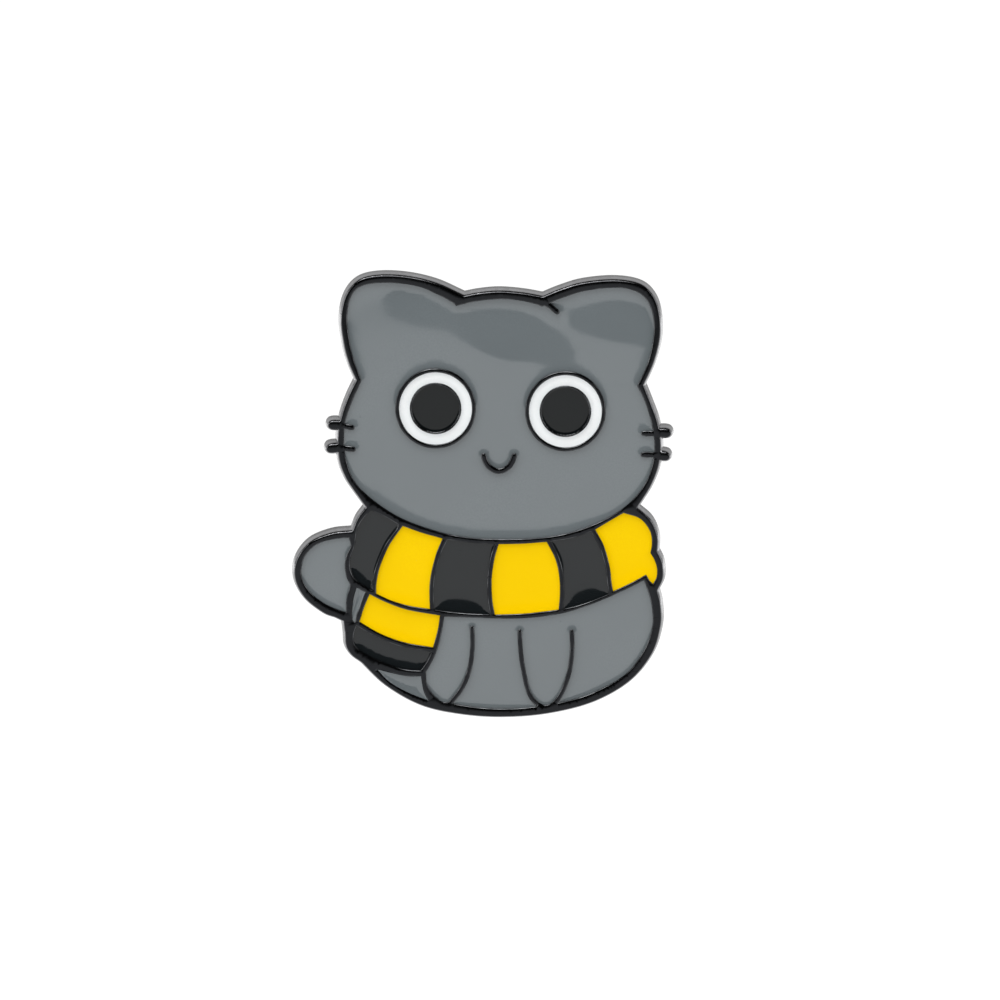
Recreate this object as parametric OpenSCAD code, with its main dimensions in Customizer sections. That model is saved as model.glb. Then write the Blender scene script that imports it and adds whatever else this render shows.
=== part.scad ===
/* [Badge plate] */
// Thickness of the plate, from its flat back to the tops of the raised lines
plate_t = 1.6; // [1.4:0.1:2.2]
// Depth of the pockets that hold the enamel
pocket_depth = 0.6; // [0.5:0.05:0.7]
// Thickness of the enamel, which stays below the tops of the raised lines
enamel_t = 0.45; // [0.3:0.05:0.45]
// How far the rear edge of the plate stands out past the front outline
edge_flare = 0.2; // [0.1:0.05:0.25]
// Thickness of the flared rear part of the plate
flare_t = 0.8; // [0.5:0.1:0.9]

/* [Face] */
// Radius of the dark pupils
pupil_r = 1.58; // [1.3:0.02:1.6]
// Width of the raised ring between a pupil and its white
pupil_line_w = 0.14; // [0.1:0.02:0.2]
// Outer radius of the white of an eye
eye_white_r = 2.42; // [2.2:0.02:2.5]
// Width of the raised ring round each eye
eye_line_w = 0.26; // [0.2:0.02:0.3]
// Width of the smile
smile_w = 0.37; // [0.3:0.01:0.4]
// Width of the raised lines between the paws
thin_line_w = 0.3; // [0.25:0.01:0.32]
// Width of the four whisker stubs inside the head
whisker_w = 0.34; // [0.25:0.01:0.34]
// Width of the whisker tips that stand out past the cheeks
whisker_tip_w = 0.56; // [0.4:0.02:0.6]

/* [Posts] */
// Distance between the two posts
post_spacing = 14; // [13:0.5:15]
// Radius of a post
post_r = 0.55; // [0.5:0.01:0.56]
// Length of a post from the back of the plate
post_len = 7.6; // [7.4:0.1:7.6]
// Radius of the flat head that is soldered to the plate
post_head_r = 1.5; // [1.3:0.1:1.6]
// Radius of the solder seat in the back of the plate
seat_r = 2; // [1.9:0.1:2.3]
// Depth of the solder seat
seat_depth = 0.3; // [0.2:0.05:0.4]

/* [Clutches] */
// Gap between the plate and a clutch, where the cloth goes
cloth_gap = 2.2; // [2.15:0.05:2.2]
// Outer radius of a clutch disc
disc_r = 5.7; // [5.5:0.1:6]
// Thickness of the sheet that the disc is stamped from
disc_t = 0.35; // [0.3:0.05:0.35]
// Outer radius of the domed cup
cup_r = 3.2; // [3.1:0.05:3.2]
// Thickness of the cup's sheet
cup_t = 0.25; // [0.2:0.01:0.25]
// Thickness of a wing's sheet
wing_t = 0.3; // [0.25:0.01:0.3]
// Width of a wing where it passes through the cup
wing_neck_w = 2.6; // [2.2:0.1:2.8]
// Width of the finger pad at the end of a wing
wing_pad_w = 4.4; // [3.8:0.1:4.6]
// Lean of a wing's pad from the disc
wing_lean = 55; // [50:1:60]
// Radius of the spring wire
spring_wire_r = 0.2; // [0.15:0.01:0.2]

/* [Hidden] */
$fn = 48;

GREY_NODES = [
    "head_enamel", "tail_enamel", "flank_enamel", "haunch_enamel", "body_enamel"
];
WHITE_NODES = ["left_eye_white_enamel", "right_eye_white_enamel"];
PUPIL_NODES = ["left_pupil_enamel", "right_pupil_enamel"];
YELLOW_NODES = [
    "scarf_yellow_left_enamel", "scarf_yellow_middle_enamel", "scarf_yellow_right_enamel",
    "scarf_end_yellow_enamel"
];
BLACK_NODES = [
    "scarf_black_left_enamel", "scarf_black_middle_enamel", "scarf_black_right_enamel",
    "scarf_end_black_enamel"
];
ENAMEL_NODES = concat(GREY_NODES, WHITE_NODES, PUPIL_NODES, YELLOW_NODES, BLACK_NODES);
BACK_NODES = [
    "upper_post", "upper_solder", "upper_clutch_disc", "upper_clutch_cup",
    "upper_clutch_spring", "upper_left_wing", "upper_right_wing",
    "lower_post", "lower_solder", "lower_clutch_disc", "lower_clutch_cup",
    "lower_clutch_spring", "lower_left_wing", "lower_right_wing"
];

// Colours of the platings and of the enamels
black_nickel = [0.16, 0.16, 0.17];
bright_nickel = [0.78, 0.77, 0.74];
solder_grey = [0.58, 0.58, 0.57];
spring_steel = [0.62, 0.6, 0.56];
fur_grey = [0.49, 0.51, 0.53];
eye_white = [0.95, 0.97, 0.97];
pupil_black = [0.16, 0.17, 0.18];
scarf_black = [0.22, 0.22, 0.23];
scarf_yellow = [1.0, 0.82, 0.03];

// Post: height of its head above the plate, its two grooves, and its point
head_top = 0.1;
stop_groove_y = 1.95;
tip_groove_y = 6.0;
groove_w = 0.65;
groove_r = post_r - 0.18;
groove_slope = 0.1;
tip_len = 0.6;
tip_r = 0.12;
solder_top = 0.08;

// Clutch disc: its bore, and the rim whose lip is folded over the cup's flange
bore_r = post_r + 0.08;
rim_inner_r = disc_r - 0.35;
lip_r = disc_r - 0.75;
lip_y = 0.75;
lip_t = 0.25;

// Cup: a flange that turns under the lip, a straight wall and a dome
flange_y = disc_t + 0.05;
flange_r = rim_inner_r - 0.1;
dome_y = 2.75;

// Wings: two strips crossing inside the cup, one above the other
wing_y = 1.05;
wing_step = wing_t + 0.1;
wing_end_x = 1.15;
bend_x = 3.6;
bend_r = 0.6;
pad_x = bend_x + 1.6;
pad_len = 4.1;
hole_r = post_r + 0.1;
hole_back = 1.15;
slot_y = wing_y - wing_t / 2 - 0.1;
slot_h = wing_step + wing_t + 0.2;
slot_w = wing_neck_w + 0.3;

// Spring: an open ring of wire between the lugs of the two wings
spring_r = 1.85;
spring_y = wing_y + wing_step + wing_t / 2 + 0.1 + spring_wire_r;
lug_x = spring_r + spring_wire_r + 0.05;
lug_t = 0.3;
lug_w = 1.2;
lug_top = spring_y + spring_wire_r;

// ---- Outline drawing: x runs to the viewer's right, the second number up the badge, in mm ----

// Straight pieces that each stretch of curve is drawn with
curve_steps = 5;
// Straight pieces in the half circle at the end of a raised line
cap_steps = 6;

// Point t (0 to 1) of a smooth curve that runs from b to c, with neighbours a and d
function curve_point(a, b, c, d, t) =
    0.5 * (2 * b + (c - a) * t + (2 * a - 5 * b + 4 * c - d) * t * t
        + (3 * b - a - 3 * c + d) * t * t * t);

// Smooth curve through the points, without the last one; two points make a straight edge
function curve(p) =
    len(p) < 3 ? [p[0]] : [
        for (i = [0:len(p) - 2]) for (s = [0:curve_steps - 1])
            let (a = i == 0 ? 2 * p[0] - p[1] : p[i - 1],
                 d = i == len(p) - 2 ? 2 * p[i + 1] - p[i] : p[i + 2])
                curve_point(a, p[i], p[i + 1], d, s / curve_steps)
    ];

// Closed outline of several curves, each ending where the next begins, with a corner there
function outline(arcs) = [
    for (k = [0:len(arcs) - 1]) each curve(concat(arcs[k], [arcs[(k + 1) % len(arcs)][0]]))
];

function unit(v) = v / norm(v);
function left_of(v) = [-v[1], v[0]];

// Closed outline moved out by d, for an outline that runs anticlockwise
function grow(p, d) = [
    for (i = [0:len(p) - 1])
        let (n = len(p),
             before = -left_of(unit(p[i] - p[(i + n - 1) % n])),
             after = -left_of(unit(p[(i + 1) % n] - p[i])))
            p[i] + (before + after) * d / (1 + before * after)
];

// Half circle of radius r about c, from the direction that starts at angle a
function cap(c, r, a) = [
    for (s = [0:cap_steps]) c + r * [cos(a - 180 * s / cap_steps), sin(a - 180 * s / cap_steps)]
];

// Raised line of width w with round ends along a smooth curve through the points
function line_shape(p, w) =
    let (c = concat(curve(p), [p[len(p) - 1]]),
         last = len(c) - 1,
         side = [for (i = [0:last])
             left_of(unit(c[min(i + 1, last)] - c[max(i - 1, 0)])) * w / 2],
         angle_first = atan2(side[0][1], side[0][0]),
         angle_last = atan2(side[last][1], side[last][0]))
    concat(
        [for (i = [1:last - 1]) c[i] + side[i]],
        cap(c[last], w / 2, angle_last),
        [for (i = [1:last - 1]) c[last - i] - side[last - i]],
        cap(c[0], w / 2, angle_first + 180)
    );

// Front outline of the badge, anticlockwise from the notch beside the left ear
silhouette = outline([
    // left ear
    [[-2.5, 13.15], [-4.4, 14], [-6.4, 14.45], [-8.3, 14.5], [-9.6, 14.12], [-10.4, 13.1],
     [-10.69, 11.6], [-10.5, 9.9], [-10.15, 8.6]],
    // left cheek
    [[-9.7, 7.52], [-10.28, 6.3], [-10.72, 5], [-10.93, 3.6], [-10.82, 2.1], [-10.4, 0.95],
     [-9.8, 0.02]],
    // left end of the scarf
    [[-9.06, -1], [-9.62, -1.75]],
    // tail
    [[-9.98, -2.62], [-11.4, -2.79], [-12.85, -3.42], [-13.72, -4.6], [-13.8, -5.9],
     [-13.15, -7.15], [-11.95, -8.12], [-11.15, -8.44]],
    // hanging end of the scarf
    [[-10.6, -8.7], [-10.5, -9.5], [-10.42, -10.4], [-10.05, -11]],
    // belly
    [[-9.45, -11.45], [-7.7, -13.1], [-5.3, -14.43], [-2.5, -15.03], [0.3, -15.18],
     [3.2, -14.92], [6.1, -14.16], [8.5, -12.78], [10, -10.95], [10.6, -9.05], [10.6, -7.6]],
    // right end of the scarf, lower and upper folds
    [[10.38, -6.62], [10.74, -5.8], [10.7, -4.75]],
    [[10.37, -3.98], [10.36, -2.9], [9.9, -1.85]],
    // right cheek
    [[9, -1.05], [9.9, 0.4], [10.42, 1.75], [10.58, 3.2], [10.36, 4.7], [9.88, 6.05]],
    // right ear
    [[9.42, 7.2], [10.08, 8.7], [10.48, 10.3], [10.47, 11.8], [10.1, 13.05], [9.2, 13.9],
     [7.5, 14.2], [5.4, 14.02], [3.9, 13.58]],
    // crown
    [[2.72, 13.1], [1.3, 13.34], [-0.2, 13.45], [-1.5, 13.34]]
]);

// Raised lines inside the head: whiskers, smile and the fold beside the right ear
head_lines = [
    [[[-10.9, 4.5], [-9.98, 4.34]], whisker_w],
    [[[-10.9, 3.02], [-9.9, 2.88]], whisker_w],
    [[[9.42, 3.94], [10.5, 3.94]], whisker_w],
    [[[9.4, 2.52], [10.5, 2.52]], whisker_w],
    [[[-1.22, 2.44], [-1.1, 2.06], [-0.86, 1.71], [-0.54, 1.49], [-0.2, 1.41], [0.14, 1.49],
      [0.45, 1.71], [0.68, 2.06], [0.82, 2.44]], smile_w],
    [[[2.4, 12.88], [3.1, 12.52], [3.66, 12.08]], 0.34]
];
// Tips of the whiskers, from the cheek outwards
whisker_tips = [
    [[-10.6, 4.5], [-11.3, 4.5]],
    [[-10.6, 3], [-11.42, 2.92]],
    [[10.3, 3.98], [10.98, 3.96]],
    [[10.3, 2.46], [10.9, 2.4]]
];
// Raised lines between the paws
paw_lines = [
    [[-2, -9.15], [-1.97, -10.3], [-2.1, -11.6], [-2.36, -12.55], [-2.75, -13.35], [-3.3, -14.08],
     [-3.75, -14.6]],
    [[1.18, -9.4], [1.24, -10.6], [1.45, -12.1], [1.92, -13.8], [2.9, -14.56], [3.8, -13.92],
     [4.44, -12.4], [4.68, -10.8], [4.67, -9.4]]
];
left_eye = [-4.42, 5.62];
right_eye = [4.22, 5.43];

head_cell = outline([
    [[-3.2, 12.66], [-4.2, 13.2], [-5.4, 13.73], [-6.8, 13.98], [-8.4, 14], [-9.5, 13.7],
     [-10.08, 12.95], [-10.28, 11.6], [-10.1, 10], [-9.78, 8.7]],
    [[-9.34, 7.5], [-9.9, 6.25], [-10.36, 5], [-10.52, 3.6], [-10.33, 2], [-9.65, 0.5],
     [-8, -0.97], [-6, -2.06], [-3, -2.93], [0.3, -3.16], [3.5, -2.94], [6, -2.22],
     [8.1, -1.06], [9.48, 0.5], [10.06, 2.1], [10.13, 3.5], [9.84, 5.05], [9.45, 6.2]],
    [[8.98, 7.15], [9.65, 8.6], [10.04, 10.3], [10.04, 11.7], [9.62, 12.85], [8.8, 13.48],
     [7.5, 13.7], [5.5, 13.48], [4.2, 13.08]],
    [[2.95, 12.6], [2.7, 12.44]],
    [[2.4, 12.54], [1.3, 12.82], [-0.2, 12.93], [-1.7, 12.78]],
    [[-3.05, 12.48]]
]);
tail_cell = outline([
    [[-10.2, -3.06], [-11.2, -3.16], [-12.2, -3.45], [-13.05, -4.15], [-13.4, -5.2],
     [-13.22, -6.1], [-12.6, -6.95], [-11.6, -7.65]],
    [[-10.42, -8.1], [-10.4, -7.3]],
    [[-10.14, -6.24]],
    [[-10.42, -5.6], [-10.5, -5], [-10.4, -4.3]],
    [[-10.12, -3.7]]
]);
flank_cell = outline([
    [[-9.7, -6.42], [-9.9, -7.1], [-10, -7.9]],
    [[-9.98, -8.62], [-9.82, -8.75]],
    [[-9.72, -8.3], [-9.42, -7.5]],
    [[-9.12, -6.72]]
]);
scarf_black_left_cell = outline([
    [[-8.75, -1.22], [-9.2, -1.72], [-9.62, -2.4]],
    [[-9.76, -3.15], [-9.85, -3.7], [-10.1, -4.4], [-10.14, -5.1], [-9.95, -5.65]],
    [[-9.6, -6.05], [-9.15, -6.33]],
    [[-8.7, -6.6], [-8.68, -6.1], [-8.43, -5], [-7.82, -3.6]],
    [[-7, -2.42]],
    [[-6.95, -2.16], [-7.85, -1.62]]
]);
scarf_yellow_left_cell = outline([
    [[-6.62, -2.28], [-7.5, -3.55], [-8.13, -5], [-8.38, -6.15]],
    [[-8.4, -6.84], [-7.4, -7.3], [-6.2, -7.66]],
    [[-4.82, -7.88], [-4.85, -6.5], [-4.72, -5.4], [-4.36, -4.05]],
    [[-3.97, -3.12], [-5.3, -2.75]]
]);
scarf_black_middle_cell = outline([
    [[-3.62, -3.2], [-4.05, -4.1], [-4.43, -5.45], [-4.55, -6.6]],
    [[-4.53, -7.9], [-3.5, -8.06], [-2.2, -8.18]],
    [[-0.8, -8.24], [-0.95, -7.2], [-0.98, -5.8], [-0.8, -4.5]],
    [[-0.5, -3.5], [-2, -3.41]]
]);
scarf_yellow_middle_cell = outline([
    [[-0.22, -3.5], [-0.5, -4.5], [-0.68, -5.8], [-0.65, -7.2]],
    [[-0.48, -8.26], [1.6, -8.18]],
    [[3.79, -7.92], [3.87, -6.7], [3.8, -5.5], [3.52, -4.4]],
    [[2.98, -3.35], [1.4, -3.47]]
]);
scarf_black_right_cell = outline([
    [[3.3, -3.32], [3.82, -4.4], [4.1, -5.5], [4.17, -6.7]],
    [[4.09, -7.86], [5, -7.66], [6, -7.32]],
    [[7.12, -6.86], [7, -6], [6.88, -5], [6.5, -3.7]],
    [[5.92, -2.66], [4.7, -3.08]]
]);
scarf_yellow_right_cell = outline([
    [[6.22, -2.52], [6.8, -3.6], [7.19, -5], [7.31, -6]],
    [[7.42, -6.68], [8.6, -6.12]],
    [[9.62, -5.55], [9.86, -5.95]],
    [[10.09, -6.18], [10.32, -5.7], [10.34, -5.1], [10.15, -4.5]],
    [[9.9, -4.1], [10, -3.5], [9.93, -2.8], [9.62, -2.2], [9.1, -1.72]],
    [[8.1, -1.4], [7.2, -1.93]]
]);
scarf_end_yellow_cell = outline([
    [[-8.84, -6.88], [-9.22, -7.8]],
    [[-9.52, -8.74], [-8.1, -9.56], [-6.5, -10.14]],
    [[-4.62, -10.48], [-4.3, -9.3]],
    [[-4.15, -8.32], [-6.3, -7.94], [-7.8, -7.4]]
]);
scarf_end_black_cell = outline([
    [[-9.72, -9.02], [-9.9, -9.6], [-9.88, -10.2]],
    [[-9.6, -10.6], [-8.8, -11.1], [-7.4, -11.7], [-6.4, -11.98]],
    [[-5.45, -12.05], [-5, -11.4]],
    [[-4.72, -10.78], [-6.6, -10.46], [-8.3, -9.82]]
]);
body_cell = outline([
    [[-3.86, -8.4], [-4, -9.3], [-4.22, -10.3], [-4.55, -11.2]],
    [[-5.08, -12.15], [-5.02, -12.95], [-4.65, -13.6]],
    [[-4.1, -14.12], [-2, -14.5], [0, -14.64], [2, -14.52], [4.2, -14.14], [6.05, -13.56],
     [8.2, -12.35], [9.45, -10.75], [10.02, -9.2], [10.05, -8], [9.83, -6.95]],
    [[9.48, -5.94], [8.5, -6.45], [7, -7.14], [5.5, -7.74], [4, -8.18], [2.3, -8.44],
     [0.5, -8.53], [-1.6, -8.48]]
]);
haunch_cell = outline([
    [[-8.35, -11.95], [-7.5, -12.82], [-6.25, -13.54]],
    [[-4.95, -14.05], [-5.25, -13.4]],
    [[-5.42, -12.42], [-6.3, -12.42], [-7.3, -12.22]]
]);

// ---- The plate and its enamel ----

// Stands a flat shape up: its lower face at distance d in front of the plate's back, thickness t
module stand(d, t) {
    translate([0, -d, 0]) rotate([90, 0, 0]) linear_extrude(height = t) children();
}

module disc(centre, r) {
    translate(centre) circle(r = r);
}

module ring(centre, outer_r, inner_r) {
    difference() {
        disc(centre, outer_r);
        disc(centre, inner_r);
    }
}

module head_shape() {
    difference() {
        polygon(head_cell);
        for (l = head_lines) polygon(line_shape(l[0], l[1]));
        for (eye = [left_eye, right_eye]) disc(eye, eye_white_r + eye_line_w);
    }
}

module body_shape() {
    difference() {
        polygon(body_cell);
        for (l = paw_lines) polygon(line_shape(l, thin_line_w));
    }
}

// Flat shape of one enamel field, which is also the shape of its pocket
module enamel_shape(name) {
    if (name == "head_enamel") head_shape();
    if (name == "left_eye_white_enamel") ring(left_eye, eye_white_r, pupil_r + pupil_line_w);
    if (name == "left_pupil_enamel") disc(left_eye, pupil_r);
    if (name == "right_eye_white_enamel") ring(right_eye, eye_white_r, pupil_r + pupil_line_w);
    if (name == "right_pupil_enamel") disc(right_eye, pupil_r);
    if (name == "tail_enamel") polygon(tail_cell);
    if (name == "flank_enamel") polygon(flank_cell);
    if (name == "scarf_black_left_enamel") polygon(scarf_black_left_cell);
    if (name == "scarf_yellow_left_enamel") polygon(scarf_yellow_left_cell);
    if (name == "scarf_black_middle_enamel") polygon(scarf_black_middle_cell);
    if (name == "scarf_yellow_middle_enamel") polygon(scarf_yellow_middle_cell);
    if (name == "scarf_black_right_enamel") polygon(scarf_black_right_cell);
    if (name == "scarf_yellow_right_enamel") polygon(scarf_yellow_right_cell);
    if (name == "scarf_end_yellow_enamel") polygon(scarf_end_yellow_cell);
    if (name == "scarf_end_black_enamel") polygon(scarf_end_black_cell);
    if (name == "body_enamel") body_shape();
    if (name == "haunch_enamel") polygon(haunch_cell);
}

module enamel(name, colour) {
    color(colour) stand(plate_t - pocket_depth, enamel_t) enamel_shape(name);
}

// Moves to a post: its axis is the line x = 0, z = +-post_spacing / 2, and +Y runs to its tip
module at_post(place) {
    translate([0, 0, place == "upper" ? post_spacing / 2 : -post_spacing / 2]) children();
}

// Round piece about the post axis, from points of (radius, y)
module turned(profile) {
    rotate([90, 0, 0]) rotate_extrude() polygon([for (p = profile) [p[0], -p[1]]]);
}

module base_plate() {
    color(black_nickel) difference() {
        union() {
            stand(0, flare_t) polygon(grow(silhouette, edge_flare));
            stand(flare_t, plate_t - flare_t) polygon(silhouette);
            for (tip = whisker_tips) {
                stand(0, flare_t) polygon(line_shape(tip, whisker_tip_w + 2 * edge_flare));
                stand(flare_t, plate_t - flare_t) polygon(line_shape(tip, whisker_tip_w));
            }
        }
        for (name = ENAMEL_NODES)
            stand(plate_t - pocket_depth, pocket_depth + 1) enamel_shape(name);
        for (place = ["upper", "lower"])
            at_post(place) turned([[0, -seat_depth], [seat_r, -seat_depth], [seat_r, 1], [0, 1]]);
    }
}

// ---- Posts and solder ----

// Four points of a groove with sloping sides that starts at y
function groove(y) = [
    [post_r, y], [groove_r, y + groove_slope],
    [groove_r, y + groove_w - groove_slope], [post_r, y + groove_w]
];

module post(place) {
    color(bright_nickel) at_post(place) turned([
        [0, -seat_depth], [post_head_r, -seat_depth], [post_head_r, head_top], [post_r, head_top],
        each groove(stop_groove_y), each groove(tip_groove_y),
        [post_r, post_len - tip_len], [tip_r, post_len], [0, post_len]
    ]);
}

module solder(place) {
    color(solder_grey) at_post(place) turned([
        [post_head_r, -seat_depth], [seat_r, -seat_depth], [seat_r, 0],
        [seat_r - 0.15, 0.05], [post_head_r + 0.1, solder_top], [post_head_r, solder_top]
    ]);
}

// ---- Clutches: y counts from the front of the disc ----

module at_clutch(place) {
    at_post(place) translate([0, cloth_gap, 0]) children();
}

module clutch_disc(place) {
    color(bright_nickel) at_clutch(place) turned([
        [bore_r, 0], [disc_r - 0.2, 0], [disc_r, 0.2], [disc_r, lip_y + lip_t - 0.1],
        [disc_r - 0.1, lip_y + lip_t], [lip_r, lip_y + lip_t], [lip_r, lip_y],
        [rim_inner_r, lip_y], [rim_inner_r, disc_t], [bore_r, disc_t]
    ]);
}

// Outline of the dome: a quarter circle of radius r about (0, dome_y), from its foot to its top
function dome(r) = [for (a = [0:6:90]) [r * cos(a), dome_y + r * sin(a)]];

module clutch_cup(place) {
    color(bright_nickel) at_clutch(place) difference() {
        turned(concat(
            [[cup_r - cup_t, flange_y], [flange_r, flange_y], [flange_r, flange_y + cup_t],
             [cup_r + 0.15, flange_y + cup_t], [cup_r, flange_y + cup_t + 0.15]],
            dome(cup_r),
            [for (i = [0:15]) dome(cup_r - cup_t)[15 - i]]
        ));
        // Windows that the wings pass through
        translate([-cup_r - 1, slot_y, -slot_w / 2])
            cube([2 * cup_r + 2, slot_h, slot_w]);
    }
}

// Flat-ended strip of width w along the points
function ribbon(p, w) =
    let (last = len(p) - 1,
         side = [for (i = [0:last])
             let (into = unit(p[i] - p[max(i - 1, 0)] + (i == 0 ? p[1] - p[0] : [0, 0])),
                  out = unit(p[min(i + 1, last)] - p[i] + (i == last ? p[last] - p[last - 1] : [0, 0])))
                 (left_of(into) + left_of(out)) / (1 + into * out) * w / 2])
    concat([for (i = [0:last]) p[i] + side[i]], [for (i = [0:last]) p[last - i] - side[last - i]]);

// Side view of a wing, with its neck at height y: flat neck, bend, and pad leaning from the disc
function wing_path(y) =
    concat(
        [[wing_end_x, y]],
        [for (a = [0:wing_lean / 6:wing_lean])
            [-bend_x - bend_r * sin(a), y + bend_r * (1 - cos(a))]],
        [[-bend_x - bend_r * sin(wing_lean) - pad_len * cos(wing_lean),
          y + bend_r * (1 - cos(wing_lean)) + pad_len * sin(wing_lean)]]
    );

// Plan of a wing, x and z: a straight neck and a round-sided pad, which its tip cuts off straight
module wing_plan() {
    translate([-pad_x, 0]) circle(r = wing_pad_w / 2);
    translate([-pad_x, -wing_neck_w / 2]) square([pad_x + 2 * wing_end_x, wing_neck_w]);
}

// Long hole in a wing's neck, closed against the post at rest
wing_hole = line_shape([[post_r + 0.03 - hole_r, 0], [hole_r - hole_back, 0]], 2 * hole_r);

// Left wing; its neck's middle runs at height y and its spring lug rises to lug_top
module wing(y) {
    difference() {
        intersection() {
            translate([0, 0, -5]) linear_extrude(height = 10)
                polygon(ribbon(wing_path(y), wing_t));
            rotate([90, 0, 0]) translate([0, 0, -10]) linear_extrude(height = 20) wing_plan();
        }
        // Long hole that lets the post through when the wing is pushed in
        rotate([90, 0, 0]) translate([0, 0, -5]) linear_extrude(height = 10) polygon(wing_hole);
    }
    translate([-lug_x - lug_t, y, -lug_w / 2]) cube([lug_t, lug_top - y, lug_w]);
}

module clutch_spring(place) {
    color(spring_steel) at_clutch(place) translate([0, spring_y, 0]) rotate([90, 120, 0])
        rotate_extrude(angle = 300) translate([spring_r, 0]) circle(r = spring_wire_r, $fn = 16);
}

module left_wing(place) {
    color(bright_nickel) at_clutch(place) wing(wing_y);
}

module right_wing(place) {
    color(bright_nickel) at_clutch(place) mirror([1, 0, 0]) wing(wing_y + wing_step);
}

base_plate();
for (name = GREY_NODES) enamel(name, fur_grey);
for (name = WHITE_NODES) enamel(name, eye_white);
for (name = PUPIL_NODES) enamel(name, pupil_black);
for (name = YELLOW_NODES) enamel(name, scarf_yellow);
for (name = BLACK_NODES) enamel(name, scarf_black);
post("upper");  // upper_post
solder("upper");  // upper_solder
clutch_disc("upper");  // upper_clutch_disc
clutch_cup("upper");  // upper_clutch_cup
clutch_spring("upper");  // upper_clutch_spring
left_wing("upper");  // upper_left_wing
right_wing("upper");  // upper_right_wing
post("lower");  // lower_post
solder("lower");  // lower_solder
clutch_disc("lower");  // lower_clutch_disc
clutch_cup("lower");  // lower_clutch_cup
clutch_spring("lower");  // lower_clutch_spring
left_wing("lower");  // lower_left_wing
right_wing("lower");  // lower_right_wing
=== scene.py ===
"""Enamel pin: a struck kitten badge in soft enamel, with two posts and two butterfly clutches.

Every outline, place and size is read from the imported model, so each finished piece lies where its CAD
node lies. Arrays hold millimetres, as (x, y, z) or, for a flat outline, as (x, z); the face looks
along -Y and the posts along +Y. Meshes are written in metres.
"""

import logging
import math
from collections.abc import Callable
from dataclasses import dataclass, field
from enum import Enum

import bpy
import numpy as np
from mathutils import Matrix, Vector
from mathutils.geometry import delaunay_2d_cdt


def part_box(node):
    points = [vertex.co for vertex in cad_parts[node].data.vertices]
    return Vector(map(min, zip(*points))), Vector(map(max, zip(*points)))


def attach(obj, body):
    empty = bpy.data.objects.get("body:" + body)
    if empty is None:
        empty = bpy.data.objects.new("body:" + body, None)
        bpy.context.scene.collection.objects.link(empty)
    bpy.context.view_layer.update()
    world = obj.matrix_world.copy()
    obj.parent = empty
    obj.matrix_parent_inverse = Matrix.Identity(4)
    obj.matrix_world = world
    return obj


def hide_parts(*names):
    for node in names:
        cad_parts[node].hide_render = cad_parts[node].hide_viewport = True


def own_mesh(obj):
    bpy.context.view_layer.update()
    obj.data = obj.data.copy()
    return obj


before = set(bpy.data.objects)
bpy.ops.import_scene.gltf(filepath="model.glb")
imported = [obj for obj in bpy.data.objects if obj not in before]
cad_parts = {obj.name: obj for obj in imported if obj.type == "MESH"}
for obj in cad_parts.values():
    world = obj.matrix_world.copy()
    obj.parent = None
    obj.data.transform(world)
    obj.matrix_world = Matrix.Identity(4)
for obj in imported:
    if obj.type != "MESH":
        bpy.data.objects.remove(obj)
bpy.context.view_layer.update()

Array = np.ndarray
Rule = Callable[[Array], Array]
Socket = bpy.types.NodeSocket
Colour = tuple[float, float, float]
Point = tuple[float, float, float]
Value = float | tuple[float, ...] | Socket
Inputs = dict[str | int, Value]

MM = 0.001
KEY = 1e-4
# Shares of a shoulder's radius at which it gets a ring of corners
SHOULDER_RINGS = np.array([0.13, 0.3, 0.55, 1.0])
# Distances from a wall at which the enamel gets a ring of corners
WALL_RINGS = np.array([0.025, 0.055, 0.095, 0.15, 0.22, 0.31])

log = logging.getLogger("enamel_pin")


class Place(Enum):
    """Which of the two posts a piece belongs to."""

    UPPER = "upper"
    LOWER = "lower"


class Side(Enum):
    """Which wing of a clutch; the value turns a left wing into this one."""

    LEFT = 1.0
    RIGHT = -1.0


# ---------------------------------------------------------------- surfaces


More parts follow.
